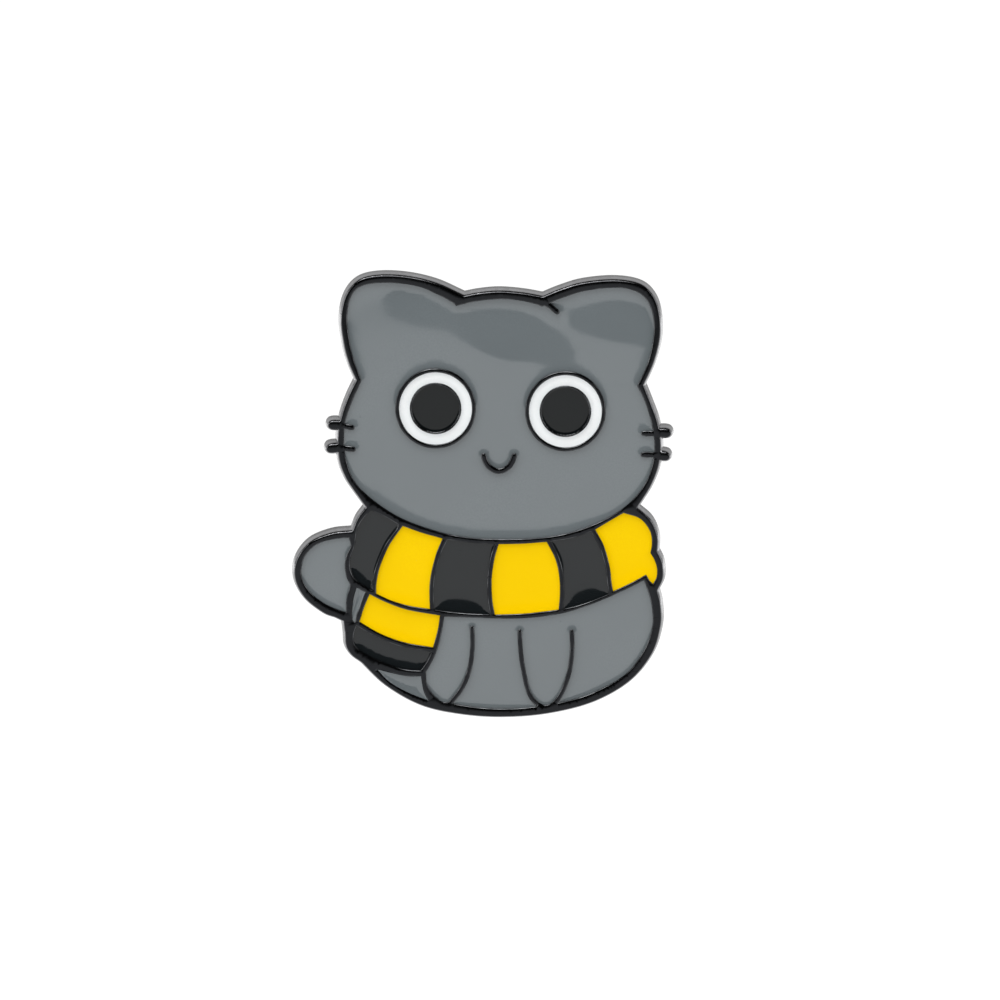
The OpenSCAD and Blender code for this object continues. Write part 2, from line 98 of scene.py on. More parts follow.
class Surface:
    """Triangles and corners in millimetres, joined where their corners meet."""

    def __init__(self) -> None:
        """Start with nothing."""
        self.points: list[Array] = []
        self.triangles: list[Array] = []
        self.count = 0

    def add(self, points: Array, faces: Array) -> "Surface":
        """Add corners and the faces between them.

        Args:
            points: Corners, shape (n, 3).
            faces: Corner numbers, shape (m, 3) or (m, 4), anticlockwise from outside.

        Returns:
            This surface.
        """
        if faces.shape[1] == 4:
            faces = np.concatenate([faces[:, [0, 1, 2]], faces[:, [0, 2, 3]]])
        self.points.append(points)
        self.triangles.append(faces + self.count)
        self.count += len(points)
        return self

    def joined(self) -> tuple[Array, Array]:
        """Corners that fall together made one, flat triangles dropped, and faces turned outwards.

        Returns:
            Corners, and triangles whose enclosed volume, the sum of a . (b x c) / 6, is positive.
        """
        keys = np.rint(np.concatenate(self.points) / KEY).astype(np.int64)
        corners, index = np.unique(keys, axis=0, return_inverse=True)
        faces = index.reshape(-1)[np.concatenate(self.triangles)]
        whole = (faces != np.roll(faces, 1, 1)).all(1)
        faces = faces[whole]
        corners = corners * KEY
        a, b, c = (corners[faces[:, k]] for k in range(3))
        if (a * np.cross(b, c)).sum() < 0:
            faces = faces[:, ::-1]
        return corners, faces

    def build(self, name: str, sharp: float = 40.0, marks: dict[str, Rule] | None = None) -> bpy.types.Object:
        """Make a mesh object of the surface, with its place in its mesh.

        Args:
            name: The piece's name, which the object's name adds to.
            sharp: Edges that turn by more than this many degrees stay sharp.
            marks: Point attributes by name, each a function of the corners.

        Returns:
            The new object.
        """
        corners, faces = self.joined()
        mesh = bpy.data.meshes.new(name)
        mesh.from_pydata((corners * MM).tolist(), [], faces.tolist())
        mesh.polygons.foreach_set("use_smooth", np.ones(len(faces), bool))
        mesh.set_sharp_from_angle(angle=math.radians(sharp))
        for label, rule in (marks or {}).items():
            mark = mesh.attributes.new(label, "FLOAT", "POINT")
            mark.data.foreach_set("value", rule(corners).astype(np.float32))
        mesh.validate()
        mesh.update()
        piece = bpy.data.objects.new(f"{name}_detail", mesh)
        bpy.context.scene.collection.objects.link(piece)
        return piece


@dataclass(frozen=True)
class Outline:
    """A closed line of points, with the unit vector to its left at each."""

    points: Array
    left: Array

    @property
    def area(self) -> float:
        """Enclosed area, positive if the outline runs anticlockwise."""
        x, z = self.points.T
        return 0.5 * float((x * np.roll(z, -1) - np.roll(x, -1) * z).sum())


def smooth_outline(loop: Array, step: float = 0.12, corner: float = 35.0, apart: float = 0.015) -> Outline:
    """Draw a smooth line through a loop's points, and keep its real corners.

    Between two points the line is a cubic whose end slopes follow the circle through each point and
    its neighbours. A point where the loop turns by more than the corner angle keeps both its slopes.

    Args:
        loop: Points, shape (n, 2).
        step: Longest distance between the new points.
        corner: Smallest turn, in degrees, that counts as a corner.
        apart: Points closer than this to the next one are left out.

    Returns:
        The outline, in the loop's own sense.
    """
    loop = loop[np.linalg.norm(np.roll(loop, -1, 0) - loop, axis=1) > apart]
    ahead = np.roll(loop, -1, 0) - loop
    length = np.linalg.norm(ahead, axis=1)
    after = ahead / length[:, None]
    before = np.roll(after, 1, 0)
    cross = before[:, 0] * after[:, 1] - before[:, 1] * after[:, 0]
    turn = np.abs(np.arctan2(cross, (before * after).sum(1)))
    share = (length / (length + np.roll(length, 1)))[:, None]
    slope = before * share + after * (1 - share)
    slope /= np.linalg.norm(slope, axis=1)[:, None]
    sharp = (turn > math.radians(corner))[:, None]
    leaving = np.where(sharp, after, slope)
    arriving = np.roll(np.where(sharp, before, slope), -1, 0)
    pieces = np.maximum(1, np.ceil(length / step)).astype(int)
    k = np.repeat(np.arange(len(loop)), pieces)
    t = ((np.arange(len(k)) - np.repeat(np.cumsum(pieces) - pieces, pieces)) / pieces[k])[:, None]
    span = length[k][:, None]
    points = (
        (2 * t**3 - 3 * t**2 + 1) * loop[k]
        + (t**3 - 2 * t**2 + t) * span * leaving[k]
        + (3 * t**2 - 2 * t**3) * np.roll(loop, -1, 0)[k]
        + (t**3 - t**2) * span * arriving[k]
    )
    points = np.round(points, 4)
    across = np.roll(points, -1, 0) - np.roll(points, 1, 0)
    across /= np.linalg.norm(across, axis=1)[:, None]
    return Outline(points, np.stack([-across[:, 1], across[:, 0]], 1))


def flat_loops(node: str, y: float) -> list[Array]:
    """Edge loops of a CAD node's flat faces at one distance y.

    An edge that only one triangle has lies on a loop. Each loop's order is found by doubling: the
    order so far, followed by the same order taken that many steps on.

    Args:
        node: The node's name.
        y: The faces' y, in millimetres.

    Returns:
        Loops of points (x, z), the widest anticlockwise and the holes in it clockwise.
    """
    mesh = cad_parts[node].data
    place = np.empty(len(mesh.vertices) * 3, np.float32)
    mesh.vertices.foreach_get("co", place)
    mesh.calc_loop_triangles()
    corner = np.empty(len(mesh.loop_triangles) * 3, np.int32)
    mesh.loop_triangles.foreach_get("vertices", corner)
    keys = np.rint(place.reshape(-1, 3) / MM / KEY).astype(np.int64)
    points, index = np.unique(keys, axis=0, return_inverse=True)
    points = points * KEY
    faces = index.reshape(-1)[corner].reshape(-1, 3)
    faces = faces[(np.abs(points[faces][:, :, 1] - y) < 0.002).all(1)]
    edges = faces[:, [0, 1, 1, 2, 2, 0]].reshape(-1, 2).astype(np.int64)
    total = len(points)
    rim = edges[~np.isin(edges[:, 0] * total + edges[:, 1], edges[:, 1] * total + edges[:, 0])]
    follow = np.arange(total)
    follow[rim[:, 0]] = rim[:, 1]
    left, loops = np.unique(rim[:, 0]), []
    while len(left):
        order, jump = left[:1], follow
        while not (order[1:] == order[0]).any():
            order, jump = np.concatenate([order, jump[order]]), jump[jump]
        order = order[: 1 + int(np.flatnonzero(order[1:] == order[0])[0])]
        loops.append(points[order][:, [0, 2]])
        left = np.setdiff1d(left, order)
    areas = [Outline(loop, loop).area for loop in loops]
    if areas[int(np.argmax(np.abs(areas)))] < 0:
        loops = [loop[::-1] for loop in loops]
    return loops


def segments(outlines: list[Outline]) -> tuple[Array, Array]:
    """First and last points of every short straight piece of the outlines."""
    return (
        np.concatenate([o.points for o in outlines]),
        np.concatenate([np.roll(o.points, -1, 0) for o in outlines]),
    )


def in_tiles(points: Array, rule: Rule, tile: float = 2.0) -> Array:
    """Apply a rule to the points of each square tile of the plane, so that it need only look near them.

    Args:
        points: Points, shape (n, 2).
        rule: Function of some of the points.
        tile: Side of a tile.

    Returns:
        The rule's results in the points' order.
    """
    result = np.empty(len(points))
    if not len(points):
        return result
    column, row = np.floor(points / tile).astype(int).T
    order = np.lexsort((row, column))
    fresh = (np.diff(column[order]) != 0) | (np.diff(row[order]) != 0)
    for group in np.split(order, np.flatnonzero(fresh) + 1):
        result[group] = rule(points[group])
    return result


def distance(points: Array, outlines: list[Outline], far: float = 1.6) -> Array:
    """Distance from each point to the nearest of the outlines, or a set value beyond it.

    Args:
        points: Points, shape (n, 2).
        outlines: The outlines.
        far: The most that is measured.

    Returns:
        The least distance to any straight piece, shape (n,).
    """
    start, end = segments(outlines)
    low, high = np.minimum(start, end) - far, np.maximum(start, end) + far

    def nearest(batch: Array) -> Array:
        """Distance of one tile's points, from the foot of the perpendicular on each piece near them."""
        near = ((low <= batch.max(0)) & (high >= batch.min(0))).all(1)
        if not near.any():
            return np.full(len(batch), far)
        first, run = start[near], (end - start)[near]
        dx, dz = batch[:, :1] - first[:, 0], batch[:, 1:] - first[:, 1]
        t = np.clip((dx * run[:, 0] + dz * run[:, 1]) / (run**2).sum(1), 0, 1)
        away = np.sqrt(((dx - t * run[:, 0]) ** 2 + (dz - t * run[:, 1]) ** 2).min(1))
        return np.minimum(away, far)

    return in_tiles(points, nearest)


def nearness(points: Array, outlines: list[Outline], reach: float) -> Array:
    """How strongly the walls act on each point: about 1 at a wall and 0 far from it, with no creases.

    It is the sum over the outlines of exp(-r / reach) times the length of each piece, over 2 reach.

    Args:
        points: Points, shape (n, 2).
        outlines: The walls.
        reach: Distance at which the effect has fallen to a third.

    Returns:
        The sums, shape (n,).
    """
    start, end = segments(outlines)
    middle, length = (start + end) / 2, np.linalg.norm(end - start, axis=1)

    def total(batch: Array) -> Array:
        """Sum for one tile's points."""
        r = np.hypot(batch[:, :1] - middle[:, 0], batch[:, 1:] - middle[:, 1])
        return (np.exp(-r / reach) * length).sum(1) / (2 * reach)

    return in_tiles(points, total)


def inside(points: Array, outlines: list[Outline]) -> Array:
    """Which points have an odd number of outline crossings between them and far to the right."""
    start, end = segments(outlines)
    rise = end[:, 1] - start[:, 1]
    slant = (end[:, 0] - start[:, 0]) / np.where(rise == 0, 1, rise)
    low, high = np.minimum(start, end), np.maximum(start, end)

    def odd(batch: Array) -> Array:
        """Count the crossings of one tile's points, and 1 if they are odd."""
        least, most = batch.min(0), batch.max(0)
        near = (low[:, 1] <= most[1]) & (high[:, 1] >= least[1]) & (high[:, 0] >= least[0])
        x, z = batch[:, :1], batch[:, 1:]
        crosses = (start[near, 1] > z) != (end[near, 1] > z)
        return (crosses & (x < start[near, 0] + (z - start[near, 1]) * slant[near])).sum(1) % 2

    return in_tiles(points, odd) > 0.5


def triangulate(outlines: list[Outline], extra: Array,
                creases: tuple[Outline, ...] = ()) -> tuple[Array, Array]:
    """Fill outlines with triangles whose corners are theirs and the extra points.

    Args:
        outlines: Edges that every triangle respects; areas inside an odd number of them are filled.
        extra: Loose points, shape (n, 2).
        creases: More edges that every triangle respects, which bound nothing.

    Returns:
        Corners (n, 2), and triangles that run anticlockwise.
    """
    edges = [*outlines, *creases]
    rim = np.concatenate([o.points for o in edges])
    starts = np.cumsum([0] + [len(o.points) for o in edges])
    number = np.arange(len(rim))
    following = number + 1
    following[starts[1:] - 1] = starts[:-1]
    loose = np.concatenate([rim, np.round(extra, 4)]).tolist()
    kept = np.stack([number, following], 1).tolist()
    corners, _, faces, *_ = delaunay_2d_cdt(loose, kept, [], 0, 1e-5, False)
    points = np.round(np.array([tuple(c) for c in corners]), 4)
    faces = np.array(faces)
    a, b, c = (points[faces[:, k]] for k in range(3))
    area = (b[:, 0] - a[:, 0]) * (c[:, 1] - a[:, 1]) - (b[:, 1] - a[:, 1]) * (c[:, 0] - a[:, 0])
    faces = np.where((area < 0)[:, None], faces[:, ::-1], faces)
    return points, faces[inside((a + b + c) / 3, outlines)]


def rings(outlines: list[Outline], distances: Array, side: float) -> Array:
    """Points at set distances from the outlines, on their left (side 1) or right (side -1).

    A point that lies nearer to some other stretch of outline than to its own is left out.
    """
    points = np.concatenate([o.points for o in outlines])
    left = np.concatenate([o.left for o in outlines]) * side
    candidates = (points[None] + left[None] * distances[:, None, None]).reshape(-1, 2)
    wanted = np.repeat(distances, len(points))
    return candidates[distance(candidates, outlines) > wanted * 0.93 - 0.0005]


def lift(points: Array, y: Array | float) -> Array:
    """Flat points (x, z) with a y of their own, as (x, y, z)."""
    return np.stack([points[:, 0], np.broadcast_to(y, len(points)), points[:, 1]], 1)


def band(outline: Outline, near: Array | float, far: Array | float) -> tuple[Array, Array]:
    """Wall between an outline at one y and the same outline at another, facing the outline's right.

    Args:
        outline: The outline.
        near: The y of the first edge.
        far: The y of the other edge, further along +Y.

    Returns:
        Corners and quads.
    """
    count = len(outline.points)
    k = np.arange(count)
    after = (k + 1) % count
    return (
        np.concatenate([lift(outline.points, near), lift(outline.points, far)]),
        np.stack([k + count, after + count, after, k], 1),
    )


def rounded(profile: Array, radius: float, steps: int = 5) -> Array:
    """Round every inner point of an open line by a quadratic curve between points set back by the radius."""
    before, middle, after = profile[:-2], profile[1:-1], profile[2:]

    def set_back(other: Array) -> Array:
        """Point on the way from the middle to the other, no more than half way."""
        way = other - middle
        length = np.linalg.norm(way, axis=1)[:, None]
        return middle + way / length * np.minimum(radius, length * 0.49)

    t = np.linspace(0, 1, steps)[None, :, None]
    first, last = set_back(before)[:, None], set_back(after)[:, None]
    curves = first * (1 - t) ** 2 + 2 * middle[:, None] * t * (1 - t) + last * t**2
    return np.concatenate([profile[:1], curves.reshape(-1, 2), profile[-1:]])


def wrapped(points: Array) -> Surface:
    """Surface over a grid of points, shape (n, m, 3), whose last column joins the first."""
    rows, columns = points.shape[:2]
    i, j = np.indices((rows - 1, columns)).reshape(2, -1)
    row, after = i * columns, (j + 1) % columns
    quads = np.stack([row + j, row + columns + j, row + columns + after, row + after], 1)
    return Surface().add(points.reshape(-1, 3), quads)


def turned(profile: Array, centre: tuple[float, float], sides: int = 96,
           wobble: Callable[[Array, Array], Array] | None = None) -> Surface:
    """Turn a line of (radius, y) about the post axis.

    Args:
        profile: Points of the line; it starts and ends on the axis or where it started.
        centre: The axis, as (x, z).
        sides: Steps in a turn.
        wobble: Change of y as a function of angle and radius, or None.

    Returns:
        The surface (r cos a, y, r sin a) over the angle a and the line.
    """
    angle = np.arange(sides) * (2 * math.pi / sides)
    r, y = profile[:, :1], profile[:, 1:]
    y = np.repeat(y, sides, 1)
    if wobble is not None:
        y = y + wobble(np.broadcast_to(angle, y.shape), np.broadcast_to(r, y.shape))
    return wrapped(np.stack([centre[0] + r * np.cos(angle), y, centre[1] + r * np.sin(angle)], 2))


def shell(outer: Array, inner: Array, keep: Array, wrap: bool = False) -> Surface:
    """Close two matching grids into one sheet with a wall round every window in it.

    Args:
        outer: Grid of points on one side, shape (n, m, 3).
        inner: The same on the other side.
        keep: Which cells of the grid exist, shape (n - 1, m - 1), or (n - 1, m) if it wraps.
        wrap: Whether the last column joins the first.

    Returns:
        The closed surface.
    """
    rows, columns = outer.shape[:2]
    back = rows * columns
    table = np.pad(keep, 1)
    if wrap:
        table[:, 0], table[:, -1] = table[:, -2], table[:, 1]

    def corner(i: Array, j: Array) -> Array:
        """Number of a grid point."""
        return i * columns + j % columns

    i, j = np.nonzero(keep)
    faces = [
        np.stack([corner(i, j), corner(i + 1, j), corner(i + 1, j + 1), corner(i, j + 1)], 1),
        np.stack([corner(i, j + 1), corner(i + 1, j + 1), corner(i + 1, j), corner(i, j)], 1) + back,
    ]
    walls = (  # the neighbour's place, and the two corners that it shares
        ((-1, 0), (0, 0), (0, 1)),
        ((1, 0), (1, 1), (1, 0)),
        ((0, -1), (1, 0), (0, 0)),
        ((0, 1), (0, 1), (1, 1)),
    )
    for (di, dj), first, last in walls:
        open_side = ~table[i + 1 + di, j + 1 + dj]
        a = corner(i[open_side] + first[0], j[open_side] + first[1])
        b = corner(i[open_side] + last[0], j[open_side] + last[1])
        faces.append(np.stack([a, b, b + back, a + back], 1))
    return Surface().add(np.concatenate([outer.reshape(-1, 3), inner.reshape(-1, 3)]), np.concatenate(faces))


def tube(path: Array, radius: Array, up: Array, sides: int = 20) -> Surface:
    """Carry a circle along a flat path; an end closes where its radius is 0.

    Args:
        path: Points of the middle, shape (n, 3).
        radius: Radius at each point, shape (n,).
        up: Unit vector square to the path's plane.
        sides: Steps round the circle.

    Returns:
        The surface path + radius (cos a side + sin a up), where side is square to path and up.
    """
    along = np.gradient(path, axis=0)
    across = np.cross(along, up)
    across /= np.linalg.norm(across, axis=1)[:, None]
    angle = np.arange(sides) * (2 * math.pi / sides)
    ring = across[:, None] * np.cos(angle)[None, :, None] + up * np.sin(angle)[None, :, None]
    return wrapped(path[:, None] + ring * radius[:, None, None])


def box_mm(node: str) -> tuple[Array, Array]:
    """Lowest and highest corners of a CAD node, in millimetres."""
    low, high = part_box(node)
    return np.array(low) / MM, np.array(high) / MM


def post_axis(place: Place) -> tuple[float, float]:
    """A post's axis, as (x, z) in millimetres."""
    low, high = box_mm(f"{place.value}_post")
    return float(low[0] + high[0]) / 2, float(low[2] + high[2]) / 2


# ---------------------------------------------------------------- shader graphs


class Graph:
    """A short way to place and join the nodes of a material or a group."""

    def __init__(self, tree: bpy.types.NodeTree) -> None:
        """Work on one node tree."""
        self.tree = tree

    def node(self, kind: str, inputs: Inputs | None = None, **settings: object) -> bpy.types.Node:
        """Place a node.

        Args:
            kind: Its type name.
            inputs: A number, a colour or another node's output for each named or numbered input.
            settings: Its own settings.

        Returns:
            The node.
        """
        made = self.tree.nodes.new(kind)
        for label, value in settings.items():
            setattr(made, label, value)
        for label, value in (inputs or {}).items():
            if isinstance(value, bpy.types.NodeSocket):
                self.tree.links.new(value, made.inputs[label])
            else:
                made.inputs[label].default_value = value
        return made

    def math(self, operation: str, first: Value, second: Value = 0.0, clamp: bool = False) -> Socket:
        """Result of a Math node on two values."""
        made = self.node("ShaderNodeMath", {0: first, 1: second}, operation=operation, use_clamp=clamp)
        return made.outputs[0]

    def plus(self, first: Value, second: Value) -> Socket:
        """Sum of two values."""
        return self.math("ADD", first, second)

    def times(self, first: Value, second: Value) -> Socket:
        """Product of two values."""
        return self.math("MULTIPLY", first, second)

    def seen_or_lit(self, lit: Value, seen: Value) -> Socket:
        """One value for the light that falls on things, and another for what the camera sees directly."""
        direct = self.node("ShaderNodeLightPath").outputs["Is Camera Ray"]
        return self.node("ShaderNodeMix", {0: direct, 2: lit, 3: seen}, data_type="FLOAT").outputs[0]

    def ramp(self, value: Value, start: float, end: float, low: Value = 0.0, high: Value = 1.0) -> Socket:
        """Smooth step of a value, from low at start to high at end."""
        inputs = {"Value": value, "From Min": start, "From Max": end, "To Min": low, "To Max": high}
        return self.node("ShaderNodeMapRange", inputs, interpolation_type="SMOOTHSTEP").outputs["Result"]

    def blend(self, share: Value, first: Value, second: Value) -> Socket:
        """Colour between the first and the second."""
        mixer = self.node("ShaderNodeMix", {0: share, 6: first, 7: second}, data_type="RGBA")
        return mixer.outputs[2]

    def noise(self, place: Socket, scale: Value, detail: float = 2.0, roughness: float = 0.5) -> Socket:
        """Soft noise of about 0 to 1 at a place."""
        inputs = {"Vector": place, "Scale": scale, "Detail": detail, "Roughness": roughness}
        return self.node("ShaderNodeTexNoise", inputs).outputs[0]

    def millimetres(self) -> Socket:
        """Place on the piece, in millimetres."""
        place = self.node("ShaderNodeTexCoord").outputs["Object"]
        return self.node("ShaderNodeVectorMath", {0: place, "Scale": 1 / MM}, operation="SCALE").outputs[0]

    def mark(self, name: str) -> Socket:
        """A point attribute of the piece."""
        return self.node("ShaderNodeAttribute", attribute_name=name).outputs["Fac"]


class Effect(Enum):
    """Shared surface effects; each value is its node group's name."""

    DRIFT = "tone_drift"
    SCRATCHES = "fine_scratches"
    SPECKS = "fine_specks"
    RIPPLE = "surface_ripple"


def build_group(effect: Effect, rule: Callable[[Graph, dict[str, Socket]], Socket], **inputs: float) -> None:
    """Make a node group that takes a place and gives one output called Amount.

    Args:
        effect: The effect it makes.
        rule: Function of its graph and its inputs that gives the output.
        inputs: The usual value of each of its other inputs, by name.
    """
    tree = bpy.data.node_groups.new(effect.value, "ShaderNodeTree")
    tree.interface.new_socket("Place", in_out="INPUT", socket_type="NodeSocketVector")
    for name, usual in inputs.items():
        made = tree.interface.new_socket(name, in_out="INPUT", socket_type="NodeSocketFloat")
        made.default_value = usual
    tree.interface.new_socket("Amount", in_out="OUTPUT", socket_type="NodeSocketFloat")
    graph = Graph(tree)
    entry = graph.node("NodeGroupInput")
    given = {name: entry.outputs[name] for name in ("Place", *inputs)}
    graph.node("NodeGroupOutput", {"Amount": rule(graph, given)})


def make_drift(graph: Graph, given: dict[str, Socket]) -> Socket:
    """Broad soft noise, stretched to run from 0 to 1."""
    return graph.ramp(graph.noise(given["Place"], given["Scale"], 2.0), 0.32, 0.68)


def make_scratches(graph: Graph, given: dict[str, Socket]) -> Socket:
    """Noise drawn out thirty times along two directions and cut so that only its crests remain."""
    lines = []
    for turn in (0.5, 2.2):
        slant = {"Vector": given["Place"], "Rotation": (0.3, turn, 0.2), "Scale": (0.35, 0.35, 11.0)}
        place = graph.node("ShaderNodeMapping", slant).outputs[0]
        lines.append(graph.noise(place, given["Scale"], 3.0, 0.6))
    over = graph.math("SUBTRACT", graph.math("MAXIMUM", *lines), given["Cut"])
    return graph.math("MULTIPLY", over, 14.0, clamp=True)


def make_specks(graph: Graph, given: dict[str, Socket]) -> Socket:
    """Middles of random cells, each of its own size."""
    cells = graph.node("ShaderNodeTexVoronoi", {"Vector": given["Place"], "Scale": given["Scale"]})
    colour = graph.node("ShaderNodeSeparateColor", {"Color": cells.outputs["Color"]})
    size = graph.times(graph.math("POWER", colour.outputs[0], 4.0), given["Size"])
    return graph.ramp(graph.math("DIVIDE", cells.outputs["Distance"], graph.plus(size, 0.001)), 1.0, 0.6)


def make_ripple(graph: Graph, given: dict[str, Socket]) -> Socket:
    """Noise at one scale with a finer one laid over it."""
    wide = graph.noise(given["Place"], given["Scale"], 1.0)
    fine = graph.noise(given["Place"], graph.times(given["Scale"], 5.3), 2.0)
    return graph.plus(wide, graph.times(fine, given["Fine"]))


def build_effects() -> None:
    """Make the shared node groups."""
    build_group(Effect.DRIFT, make_drift, Scale=0.2)
    build_group(Effect.SCRATCHES, make_scratches, Scale=1.0, Cut=0.66)
    build_group(Effect.SPECKS, make_specks, Scale=1.0, Size=0.12)
    build_group(Effect.RIPPLE, make_ripple, Scale=0.6, Fine=0.25)


class Paint(Graph):
    """A material with one Principled surface."""

    def __init__(self, name: str, fixed: dict[str, Value]) -> None:
        """Start a material.

        Args:
            name: The material's name.
            fixed: Values that are the same all over it, by the surface's socket names.
        """
        self.material = bpy.data.materials.new(name)
        self.material.use_nodes = True
        self.material.node_tree.nodes.clear()
        super().__init__(self.material.node_tree)
        self.surface = self.node("ShaderNodeBsdfPrincipled", fixed)
        self.node("ShaderNodeOutputMaterial", {"Surface": self.surface.outputs[0]})
        self.place = self.millimetres()

    def effect(self, effect: Effect, **inputs: Value) -> Socket:
        """Amount of a shared effect.

        Args:
            effect: Which one.
            inputs: Its values, by their names in lower case.

        Returns:
            Its output.
        """
        named = {label.capitalize(): value for label, value in inputs.items()}
        group = bpy.data.node_groups[effect.value]
        return self.node("ShaderNodeGroup", {"Place": self.place, **named}, node_tree=group).outputs["Amount"]

    def set(self, label: str, value: Socket) -> None:
        """Join a varying value to the surface."""
        self.tree.links.new(value, self.surface.inputs[label])

    def bump(self, *layers: tuple[Socket, float]) -> None:
        """Raise the surface by layers of height.

        Args:
            layers: Each layer's height from 0 to 1, and its depth in millimetres.
        """
        total: Value = 0.0
        for height, depth in layers:
            total = self.plus(total, self.times(height, depth))
        relief = self.node("ShaderNodeBump", {"Height": total, "Strength": 1.0, "Distance": MM})
        self.set("Normal", relief.outputs[0])


def linear(red: int, green: int, blue: int) -> Colour:
    """Screen colour of 0 to 255 as linear light: c / 12.92 near black, else ((c + 0.055) / 1.055) ^ 2.4."""
    shares = (value / 255 for value in (red, green, blue))
    return tuple(c / 12.92 if c <= 0.04045 else ((c + 0.055) / 1.055) ** 2.4 for c in shares)


def tinted(colour: Colour, factor: float) -> tuple[float, float, float, float]:
    """Colour times a factor, with full opacity."""
    return (*(min(1.0, c * factor) for c in colour), 1.0)


@dataclass(frozen=True)
class EnamelFinish:
    """Soft enamel: glossy baked colour with painted shade beside the metal, and tiny pits and dust.

    Attributes:
        name: The material's name.
        colour: The colour in linear light.
        rim: Brightness of the painted shade beside a metal line, as a share.
        gloss: Roughness of the surface.
        shine: Strength of its reflections; 0.5 is that of glass.
    """

    name: str
    colour: Colour
    rim: float = 0.72
    gloss: float = 0.045
    shine: float = 0.5

    def make(self) -> bpy.types.Material:
        """Build the material."""
        paint = Paint(self.name, {"IOR": 1.5, "Specular IOR Level": self.shine})
        drift = paint.effect(Effect.DRIFT, scale=0.16)
        body = paint.blend(drift, tinted(self.colour, 0.96), tinted(self.colour, 1.04))
        pigment = paint.noise(paint.place, 9.0, 3.0)
        body = paint.blend(paint.ramp(pigment, 0.3, 0.7), body, tinted(self.colour, 0.97))
        # Painted shade: the colour darkens beside the metal lines, following the rim mark.
        beside = paint.times(paint.mark("rim"), 0.9)
        body = paint.blend(beside, body, tinted(self.colour, self.rim))
        pits = paint.effect(Effect.SPECKS, scale=0.75, size=0.07)
        dust = paint.effect(Effect.SPECKS, scale=0.9, size=0.035)
        body = paint.blend(paint.times(pits, 0.25), body, tinted(self.colour, 0.6))
        paint.set("Base Color", paint.blend(paint.times(dust, 0.2), body, (0.6, 0.6, 0.58, 1.0)))
        scratches = paint.effect(Effect.SCRATCHES, scale=0.5, cut=0.7)
        worn = paint.plus(paint.times(scratches, 0.08), paint.times(drift, 0.02))
        paint.set("Roughness", paint.plus(worn, self.gloss))
        ripple = paint.effect(Effect.RIPPLE, scale=0.3, fine=0.02)
        paint.bump((ripple, 0.0035), (pits, -0.008), (scratches, -0.0003))
        return paint.material


@dataclass(frozen=True)
class BlackNickelFinish:
    """Polished near-black plating, thinner and lighter round the edge and on the stippled back.

    Attributes:
        name: The material's name.
        Polished near-black plating, thinner and lighter round the edge and on the stippled back, with a
        painted glint on the line shoulders and painted shade along the rear rim of the edge.
        side: Colour of the edge.
        painted_glint: Colour of the painted glint on the shoulders of the lines.
        hem: Brightness of the painted shade along the edge's rearmost rim, as a share.
    """

    name: str = "black_nickel_plating"
    top: Colour = (0.021, 0.022, 0.024)
    side: Colour = (0.47, 0.47, 0.485)
    painted_glint: Colour = (0.15, 0.155, 0.16)
    hem: float = 0.04

    def make(self) -> bpy.types.Material:
        """Build the material."""
        paint = Paint(self.name, {"Metallic": 1.0})
        drift = paint.effect(Effect.DRIFT, scale=0.35)
        side = paint.blend(drift, tinted(self.side, 0.82), tinted(self.side, 1.12))
        # Painted glint: a lighter colour along the line shoulders, broken up by noise.
        broken = paint.ramp(paint.noise(paint.place, 1.1, 3.0), 0.35, 0.65, 0.1, 1.0)
        painted_glint_share = paint.times(paint.mark("lip"), broken)
        line = paint.blend(painted_glint_share, tinted(self.top, 1.0), tinted(self.painted_glint, 1.0))
        edge = paint.mark("edge")
        trim = paint.node("ShaderNodeVectorMath", {0: paint.place, 1: (2.6, 0.35, 2.6)}, operation="MULTIPLY")
        trimmed = paint.noise(trim.outputs[0], 1.0, 4.0, 0.65)
        side = paint.blend(paint.ramp(trimmed, 0.35, 0.65), tinted(self.side, 0.78), side)
        # Painted shade: the edge's rearmost rim is darkened.
        side = paint.blend(paint.mark("hem"), side, tinted(self.side, self.hem))
        colour = paint.blend(edge, line, side)
        tarnish = paint.ramp(paint.noise(paint.place, 1.3, 4.0), 0.45, 0.75)
        back = paint.mark("back")
        dull = paint.times(tarnish, paint.times(back, 0.5))
        colour = paint.blend(dull, colour, tinted(self.side, 0.45))
        paint.set("Base Color", colour)
        scratches = paint.effect(Effect.SCRATCHES, scale=0.8, cut=0.64)
        rough = paint.plus(0.13, paint.times(scratches, 0.14))
        rough = paint.plus(rough, paint.times(drift, 0.05))
        paint.set("Roughness", paint.plus(rough, paint.times(back, 0.16)))
        ripple = paint.effect(Effect.RIPPLE, scale=0.7, fine=0.15)
        stipple = paint.times(paint.noise(paint.place, 3.2, 1.0), back)
        marks = paint.times(trimmed, edge)
        paint.bump((ripple, 0.006), (stipple, 0.07), (scratches, -0.001), (marks, 0.02))
        return paint.material


